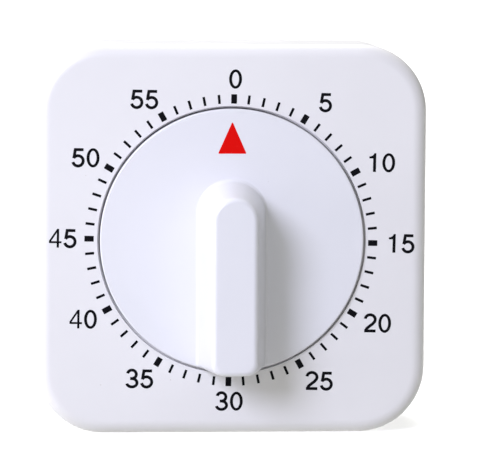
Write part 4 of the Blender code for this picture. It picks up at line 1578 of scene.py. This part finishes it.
CASE_SCREW = Screw()
MOVEMENT_SCREW = Screw(
    head=0.0022, head_height=0.0011, shank=0.0011, thread=0.00015, pitch=0.0005
)


@dataclass
class Hardware:
    """The screws that hold the case and the movement, and the magnets on the back."""

    magnet_radius: float = 0.005
    magnet_depth: float = 0.0019
    magnet_edge: float = 0.0004
    magnet_sunk: float = 0.0001
    magnet_groove: float = 0.00012
    seat_gap: float = 0.0002
    case_screw_end: float = 0.015
    movement_depths: Point = (0.0039, 0.0076)
    magnet_rings: tuple[float, ...] = (0.62, 0.6, 0.54, 0.52)

    def magnet(self, name: str, at: Point, back: float) -> None:
        """One disc magnet with bevelled edges and a shallow pressed ring.

        Args:
            name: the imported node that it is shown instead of.
            at: its place.
            back: the depth of the cover's back.
        """
        outer = back - self.magnet_sunk
        front = outer - self.magnet_depth
        r, edge = self.magnet_radius, self.magnet_edge
        profile = [(0.0, front), (r - edge / 2, front), (r, front + edge / 2), (r, outer - edge)]
        profile += [(r - edge * 0.35, outer - edge * 0.25), (r - edge, outer)]
        floor = outer - self.magnet_groove
        levels = (outer, floor, floor, outer)
        profile += [(r * share, level) for share, level in zip(self.magnet_rings, levels)]
        profile.append((0.0, outer))
        centre = Vector((at[0], FACE_Y + outer, AXIS_Z + at[1]))
        finish = FERRITE.material(f"{name}_ferrite", centre)
        mesh = turned(name, profile, at, 72)
        place_piece(f"{name}_disc", mesh, finish, "case", [name])

    def build(self, case: CaseFront, cover: RearCover) -> None:
        """Make all the screws and magnets.

        Args:
            case: the front shell.
            cover: the back shell.
        """
        seat = cover.back - cover.well_depth + self.seat_gap
        for number, at in enumerate(four_corners(case.boss_at), 1):
            CASE_SCREW.build(f"case_screw_{number}", at, (seat, self.case_screw_end), 1.0)
        for number, degrees in enumerate(SCREW_ANGLES, 1):
            at = polar(case.screw_circle, degrees)
            MOVEMENT_SCREW.build(f"movement_screw_{number}", at, self.movement_depths, -1.0)
        self.magnet("magnet_upper", (0.0, cover.magnet_at), cover.back)
        self.magnet("magnet_lower", (0.0, -cover.magnet_at), cover.back)


# ---------------------------------------------------------------- movement


def strip(name: str, path: Sequence[Point], thickness: Point, layer: Point) -> Mesh:
    """A band of spring strip with eased edges that follows a path in the front view.

    Args:
        name: the mesh's name.
        path: its middle line, measured from the dial's axis.
        thickness: how thick it is at its start and at its end.
        layer: the depths of its two edges.

    Returns:
        The solid.
    """
    rings = []
    last = len(path) - 1
    for i, here in enumerate(path):
        before, after = Vector(path[max(i - 1, 0)]), Vector(path[min(i + 1, last)])
        along = (after - before).normalized()
        side = Vector((-along.y, along.x))
        half = (thickness[0] + (thickness[1] - thickness[0]) * i / last) / 2
        ease = half * 0.5
        section = [(-half, layer[0] + ease), (-ease, layer[0]), (ease, layer[0])]
        section += [(half, layer[0] + ease), (half, layer[1] - ease), (ease, layer[1])]
        section += [(-ease, layer[1]), (-half, layer[1] - ease)]
        ring = []
        for out, depth in section:
            ring += ring_at([Vector(here) + side * out], depth)
        rings.append(ring)
    return loft(name, rings)


@dataclass(frozen=True)
class Wheel:
    """A brass gear wheel: a web with crossings, and teeth grown by a node tree."""

    node: str
    body: str
    teeth: int
    module: float
    phase: float
    layer: Point
    bore: float
    arms: int
    opening: tuple[float, float, float]
    turn: float = 0.0
    filled: int = -1
    pin_hole: float = 0.00075
    root_share: float = 0.54
    tip_share: float = 0.22
    bite: float = 0.0001
    round_tip: float = 0.00005

    def radii(self) -> Point:
        """The radii of the teeth's roots and of their tips."""
        pitch = self.teeth * self.module / 2
        return pitch - self.module, pitch + 0.8 * self.module

    def crossings(self) -> list[list[Point]]:
        """The openings between the arms."""
        inner, outer, half = self.opening
        found = []
        for arm in range(self.arms):
            if arm == self.filled:
                continue
            middle = self.turn + FULL_TURN * arm / self.arms
            edge = arc(outer, middle - half, middle + half, 20)
            edge += arc(inner, middle + half * 0.8, middle - half * 0.8, 12)
            found.append(edge)
        return found

    def toothing(self, finish: bpy.types.Material) -> Mesh:
        """The ring of teeth, each a trapezoid with a rounded tip."""
        root, tip = self.radii()
        root -= self.bite
        pitch = math.tau / self.teeth
        tree = Tree(f"{self.node}_teeth")
        count = tree.size("Teeth", self.teeth, "Int")
        ring = tree.size("Middle radius", (root + tip) / 2)
        first = tree.size("First tooth", math.radians(QUARTER - self.phase))
        points, outwards = tree.clock(count, ring, first)
        sizes = {
            "Height": tree.size("Tooth height", tip - root),
            "Bottom Width": tree.size("Root width", self.root_share * pitch * root),
            "Top Width": tree.size("Tip width", self.tip_share * pitch * tip),
            "Offset": 0.0,
        }
        tooth = tree.node("CurvePrimitiveQuadrilateral", {"mode": "TRAPEZOID"}, sizes)
        rounding = {"Curve": tooth, "Radius": tree.size("Rounding", self.round_tip), "Count": 4}
        tooth = tree.node("FilletCurve", {"mode": "POLY"}, rounding)
        thick = tree.size("Thickness", self.layer[1] - self.layer[0])
        sockets = {"Points": points, "Instance": solid_fill(tree, tooth, thick)}
        copies = tree.node("InstanceOnPoints", {}, sockets | {"Rotation": outwards})
        return tree.run(copies, finish)

    def build(self) -> None:
        """Make the wheel on its arbor."""
        lowest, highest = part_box(self.node)
        middle = (lowest + highest) / 2
        place = (middle.x, middle.z - AXIS_Z)
        finish = BRASS.material(f"{self.node}_brass", Vector((middle.x, 0.0, middle.z)))
        front, back = self.layer
        holes = [circle(self.bore, 40), *self.crossings()]
        if self.filled >= 0:
            pin = (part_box("click_pin")[0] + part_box("click_pin")[1]) / 2
            holes.append(circle(self.pin_hole, 24, (pin.x, pin.z - AXIS_Z)))
        web = sheet("web", circle(self.radii()[0], self.teeth * 2), holes, front, back, place)
        teeth = self.toothing(finish)
        teeth.transform(Matrix.Translation((middle.x, FACE_Y + back, middle.z)) @ ONTO_FACE)
        mesh = joined(self.node, (web, teeth))
        place_piece(f"{self.node}_cut", mesh, finish, self.body, [self.node])


WHEELS = (
    Wheel(
        "main_wheel", "dial", 60, 0.0005, 228.0, (0.0134, 0.0144), 0.0026,
        arms=4, opening=(0.0072, 0.0122, 26.0), turn=45.0, filled=1,
    ),
    Wheel(
        "second_wheel", "second_shaft", 48, 0.0004, -31.25, (0.0166, 0.0174), 0.0011,
        arms=4, opening=(0.0034, 0.0076, 32.0),
    ),
    Wheel(
        "third_wheel", "third_shaft", 48, 0.00035, -4.25, (0.012, 0.0128), 0.001,
        arms=4, opening=(0.003, 0.0066, 31.0),
    ),
)


@dataclass
class Movement:
    """The clockwork between its plates, and the bell behind them."""

    bell_radius: float = 0.018
    bell_at: Point = (0.0045, 0.0)
    bell_rim: float = 0.0212
    bell_top: float = 0.0255
    bell_wall: float = 0.0008
    spring_turns: float = 5.5
    spring_steps: int = 72
    spring_share: float = 0.966
    spring_inner: float = 0.003
    spring_outer: float = 0.0126
    spring_layer: Point = (0.0078, 0.0116)
    spring_strip: Point = (0.0004, 0.0004)
    post_at: float = 0.01725
    post_angle: float = 40.0
    hook: float = 0.0016
    click_from: Point = (0.0101, 187.0)
    click_run: Point = (-0.0009, -61.0)
    click_steps: int = 48
    click_rigid: int = 16
    click_strip: Point = (0.00035, 0.0003)
    click_layer: Point = (0.0123, 0.0131)
    bell_shoulder: float = 0.0042
    bell_drop: float = 0.0032
    bell_steps: int = 12
    bell_crown: Point = (0.009, 0.0004)
    bell_hole: Point = (0.0014, 0.0001)

    def bell(self) -> None:
        """The bell cup, a turned shell with a rolled shoulder."""
        r, wall = self.bell_radius, self.bell_wall
        (crown, rise), (hole, lift) = self.bell_crown, self.bell_hole
        outside, inside = [(r, self.bell_rim)], [(r - wall, self.bell_rim)]
        for i in range(self.bell_steps + 1):
            turn = math.radians(QUARTER * i / self.bell_steps)
            across, down = 1 - math.cos(turn), 1 - math.sin(turn)
            edge = self.bell_top - rise
            outside.append((r - self.bell_shoulder * across, edge - self.bell_drop * down))
            within = self.bell_drop - wall * 0.75
            reach = r - wall - (self.bell_shoulder - wall / 2) * across
            inside.append((reach, edge - wall - within * down))
        outside += [(crown, self.bell_top), (hole, self.bell_top + lift)]
        inside += [(crown, self.bell_top - wall), (hole, self.bell_top + lift - wall)]
        mesh = turned("bell", outside + inside[::-1], self.bell_at, 128, closed=True)
        centre = Vector((self.bell_at[0], 0.0, AXIS_Z))
        finish = BELL_NICKEL.material("bell_nickel", centre)
        place_piece("bell_cup", mesh, finish, "case", ["bell"])

    def mainspring(self) -> None:
        """The wound strip, from its eye out to a hook round its post."""
        path = []
        steps = int(self.spring_turns * self.spring_steps)
        start = self.post_angle - FULL_TURN * self.spring_turns
        for i in range(int(steps * self.spring_share)):
            reach = self.spring_inner + (self.spring_outer - self.spring_inner) * i / steps
            path.append(polar(reach, start + FULL_TURN * self.spring_turns * i / steps))
        post = polar(self.post_at, self.post_angle)
        path += arc(self.hook, 0.0, 230.0, 28, post)
        mesh = strip("mainspring", path, self.spring_strip, self.spring_layer)
        finish = SPRING_STEEL.material("mainspring_blue", Vector((0.0, 0.0, AXIS_Z)))
        place_piece("mainspring_coil", mesh, finish, "case", ["mainspring"])

    def click_spring(self) -> None:
        """The leaf that presses on the click's tail."""
        path = []
        for i in range(self.click_steps + 1):
            part = i / self.click_steps
            radius = self.click_from[0] + self.click_run[0] * part
            path.append(polar(radius, self.click_from[1] + self.click_run[1] * part))
        mesh = strip("click_leaf", path, self.click_strip, self.click_layer)
        finish = SPRING_STEEL.material("click_leaf_blue", Vector((0.0, 0.0, AXIS_Z)))
        mesh.materials.append(finish)
        leaf = hold(mesh, "click_leaf")
        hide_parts("click_spring")
        ends = ring_at([path[self.click_rigid], path[-1]], sum(self.click_layer) / 2)
        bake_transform(leaf)
        LOG.info("click_leaf: %d faces, bent from dial to click", len(mesh.polygons))

    def dress(self) -> None:
        """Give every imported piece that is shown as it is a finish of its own."""
        bodies = frame["record"]["behaviour"]["bodies"]
        for names in bodies.values():
            for name in names:
                piece = frame["nodes"][name]
                if piece.hide_render:
                    continue
                lowest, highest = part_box(name)
                finish = self.finish_of(name).material(f"{name}_finish", (lowest + highest) / 2)
                for slot in piece.material_slots:
                    slot.material = finish
                LOG.info("%s: dressed", name)

    def finish_of(self, name: str) -> Metal:
        """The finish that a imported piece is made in."""
        if "spring" in name and "post" not in name:
            return SPRING_STEEL
        if "arbor" in name or name == "click_pin":
            return ARBOR_STEEL
        brass = ("main_wheel", "second_wheel", "third_wheel", "escape_wheel", "alarm_cam")
        if name in (*brass, "balance_weight", "hammer_head"):
            return BRASS
        return ZINC if "plate" in name else SCREW_ZINC

    def build(self) -> None:
        """Make the bell, the wheels and the springs, and dress the rest."""
        self.bell()
        self.mainspring()
        self.click_spring()
        for wheel in WHEELS:
            wheel.build()
        self.dress()


# ---------------------------------------------------------------- studio


@dataclass(frozen=True)
class Lamp:
    """A light that looks at the timer's face. A sun has a spread, a panel a size and a distance."""

    name: str
    towards: tuple[float, float, float]
    power: float
    size: float = 0.3
    distance: float = 0.6
    spread: float = 0.0
    colour: Colour = (1.0, 1.0, 1.0)

    def hang(self, face: Vector) -> bpy.types.Object:
        """Put the light in the scene, out of the camera's sight.

        Args:
            face: the centre of the case's face.

        Returns:
            The light.
        """
        way = Vector(self.towards).normalized()
        light = bpy.data.lights.new(self.name, "SUN" if self.spread else "AREA")
        light.energy = self.power
        light.color = self.colour
        if self.spread:
            light.angle = math.radians(self.spread)
        else:
            light.shape = "DISK"
            light.size = self.size
        lamp = bpy.data.objects.new(self.name, light)
        lamp.location = face + way * self.distance
        lamp.rotation_euler = way.to_track_quat("Z", "Y").to_euler()
        lamp.visible_camera = False
        bpy.context.scene.collection.objects.link(lamp)
        return lamp


KEY = Lamp("key", (-9.5, -14.0, 7.5), 2.78, 0.25, colour=(0.8, 0.81, 1.0))
LEFT = Lamp("left", (-1.0, -0.02, 0.0), 0.88, 0.3, 0.4)
RIGHT = Lamp("right", (1.0, -0.05, 0.0), 0.06, 0.3, 0.4)
BEHIND = Lamp("behind", (-0.1, 0.8, 1.0), 1.8, spread=25.0)
FLOOR_WASH = Lamp("floor_wash", (0.0, 0.0, 1.0), 1.7, spread=8.0)


@dataclass
class Studio:
    """A pale floor, soft light and the camera."""

    distance: float = 0.6
    azimuth: float = -2.9
    elevation: float = 5.7
    roll: float = 0.25
    picture_width: float = 0.09716
    aim_right: float = 0.00354
    aim_up: float = 0.00154
    sensor: float = 36.0
    floor_half: float = 12.0
    paper: Colour = (0.9, 0.9, 0.9)
    paper_shade: Colour = (0.88, 0.88, 0.88)
    sky: Colour = (1.0, 1.0, 0.955)
    sky_level: float = 0.32
    sky_lift: float = 0.9
    right_dark: float = 0.35

    def camera(self, face: Vector) -> None:
        """Put the camera in front of the timer, a little to the left and above.

        Args:
            face: the centre of the case's face.
        """
        a, e = math.radians(self.azimuth), math.radians(self.elevation)
        back = Vector((math.sin(a) * math.cos(e), -math.cos(a) * math.cos(e), math.sin(e)))
        right = Vector((0.0, 0.0, 1.0)).cross(back).normalized()
        up = back.cross(right)
        place = face + back * self.distance
        aim = face + right * self.aim_right + up * self.aim_up
        lens = bpy.data.cameras.new("camera")
        lens.sensor_width = self.sensor
        lens.lens = self.sensor * self.distance / self.picture_width
        lens.clip_start, lens.clip_end = 0.01, 100.0
        camera = bpy.data.objects.new("camera", lens)
        turn = (place - aim).to_track_quat("Z", "Y").to_matrix().to_4x4()
        roll = Matrix.Rotation(math.radians(self.roll), 4, "Z")
        camera.matrix_world = Matrix.Translation(place) @ turn @ roll
        bpy.context.scene.collection.objects.link(camera)
        bpy.context.scene.camera = camera

    def floor(self) -> bpy.types.Object:
        """The pale floor, wide enough to fill the view."""
        half = self.floor_half
        bm = bmesh.new()
        bm.faces.new([bm.verts.new((x, y, 0.0)) for x, y in rectangle(-half, -half, half, half)])
        mesh = bpy.data.meshes.new("floor")
        bm.to_mesh(mesh)
        bm.free()
        shader = Shader("floor_paper", Vector((0.0, 0.0, 0.0)))
        tint = shader.blend(shader.noise(0.02, 3.0), self.paper, self.paper_shade)
        mesh.materials.append(shader.close(Base_Color=tint, Roughness=0.9))
        floor = hold(mesh, "floor")
        floor.visible_diffuse = False
        return floor

    def build(self) -> None:
        """Set up the whole studio."""
        face = Vector((0.0, FACE_Y, AXIS_Z))
        self.camera(face)
        for lamp in (KEY, LEFT, RIGHT, BEHIND):
            lamp.hang(face)
        lit = bpy.data.collections.new("lit_by_floor_wash")
        lit.objects.link(self.floor())
        links = FLOOR_WASH.hang(face).light_linking
        links.receiver_collection = lit
        links.blocker_collection = lit
        sky = Sky("studio")
        height = sky.axis("Z")
        upright = self.sky_level + self.sky_lift * height * height
        sky.shine(self.sky, upright * (1.0 - self.right_dark * sky.axis("X").step(-0.3, 0.8)))
        bpy.context.scene.view_settings.view_transform = "Standard"


def main() -> None:
    """Build the timer piece by piece, then the studio round it."""
    logging.basicConfig(level=logging.INFO, format="%(name)s: %(message)s")
    case = CaseFront()
    cover = RearCover()
    case.build()
    cover.build(case)
    MinuteScale().build()
    Dial().build(case)
    Hardware().build(case, cover)
    Movement().build()
    Studio().build()


if __name__ == "__main__":
    main()
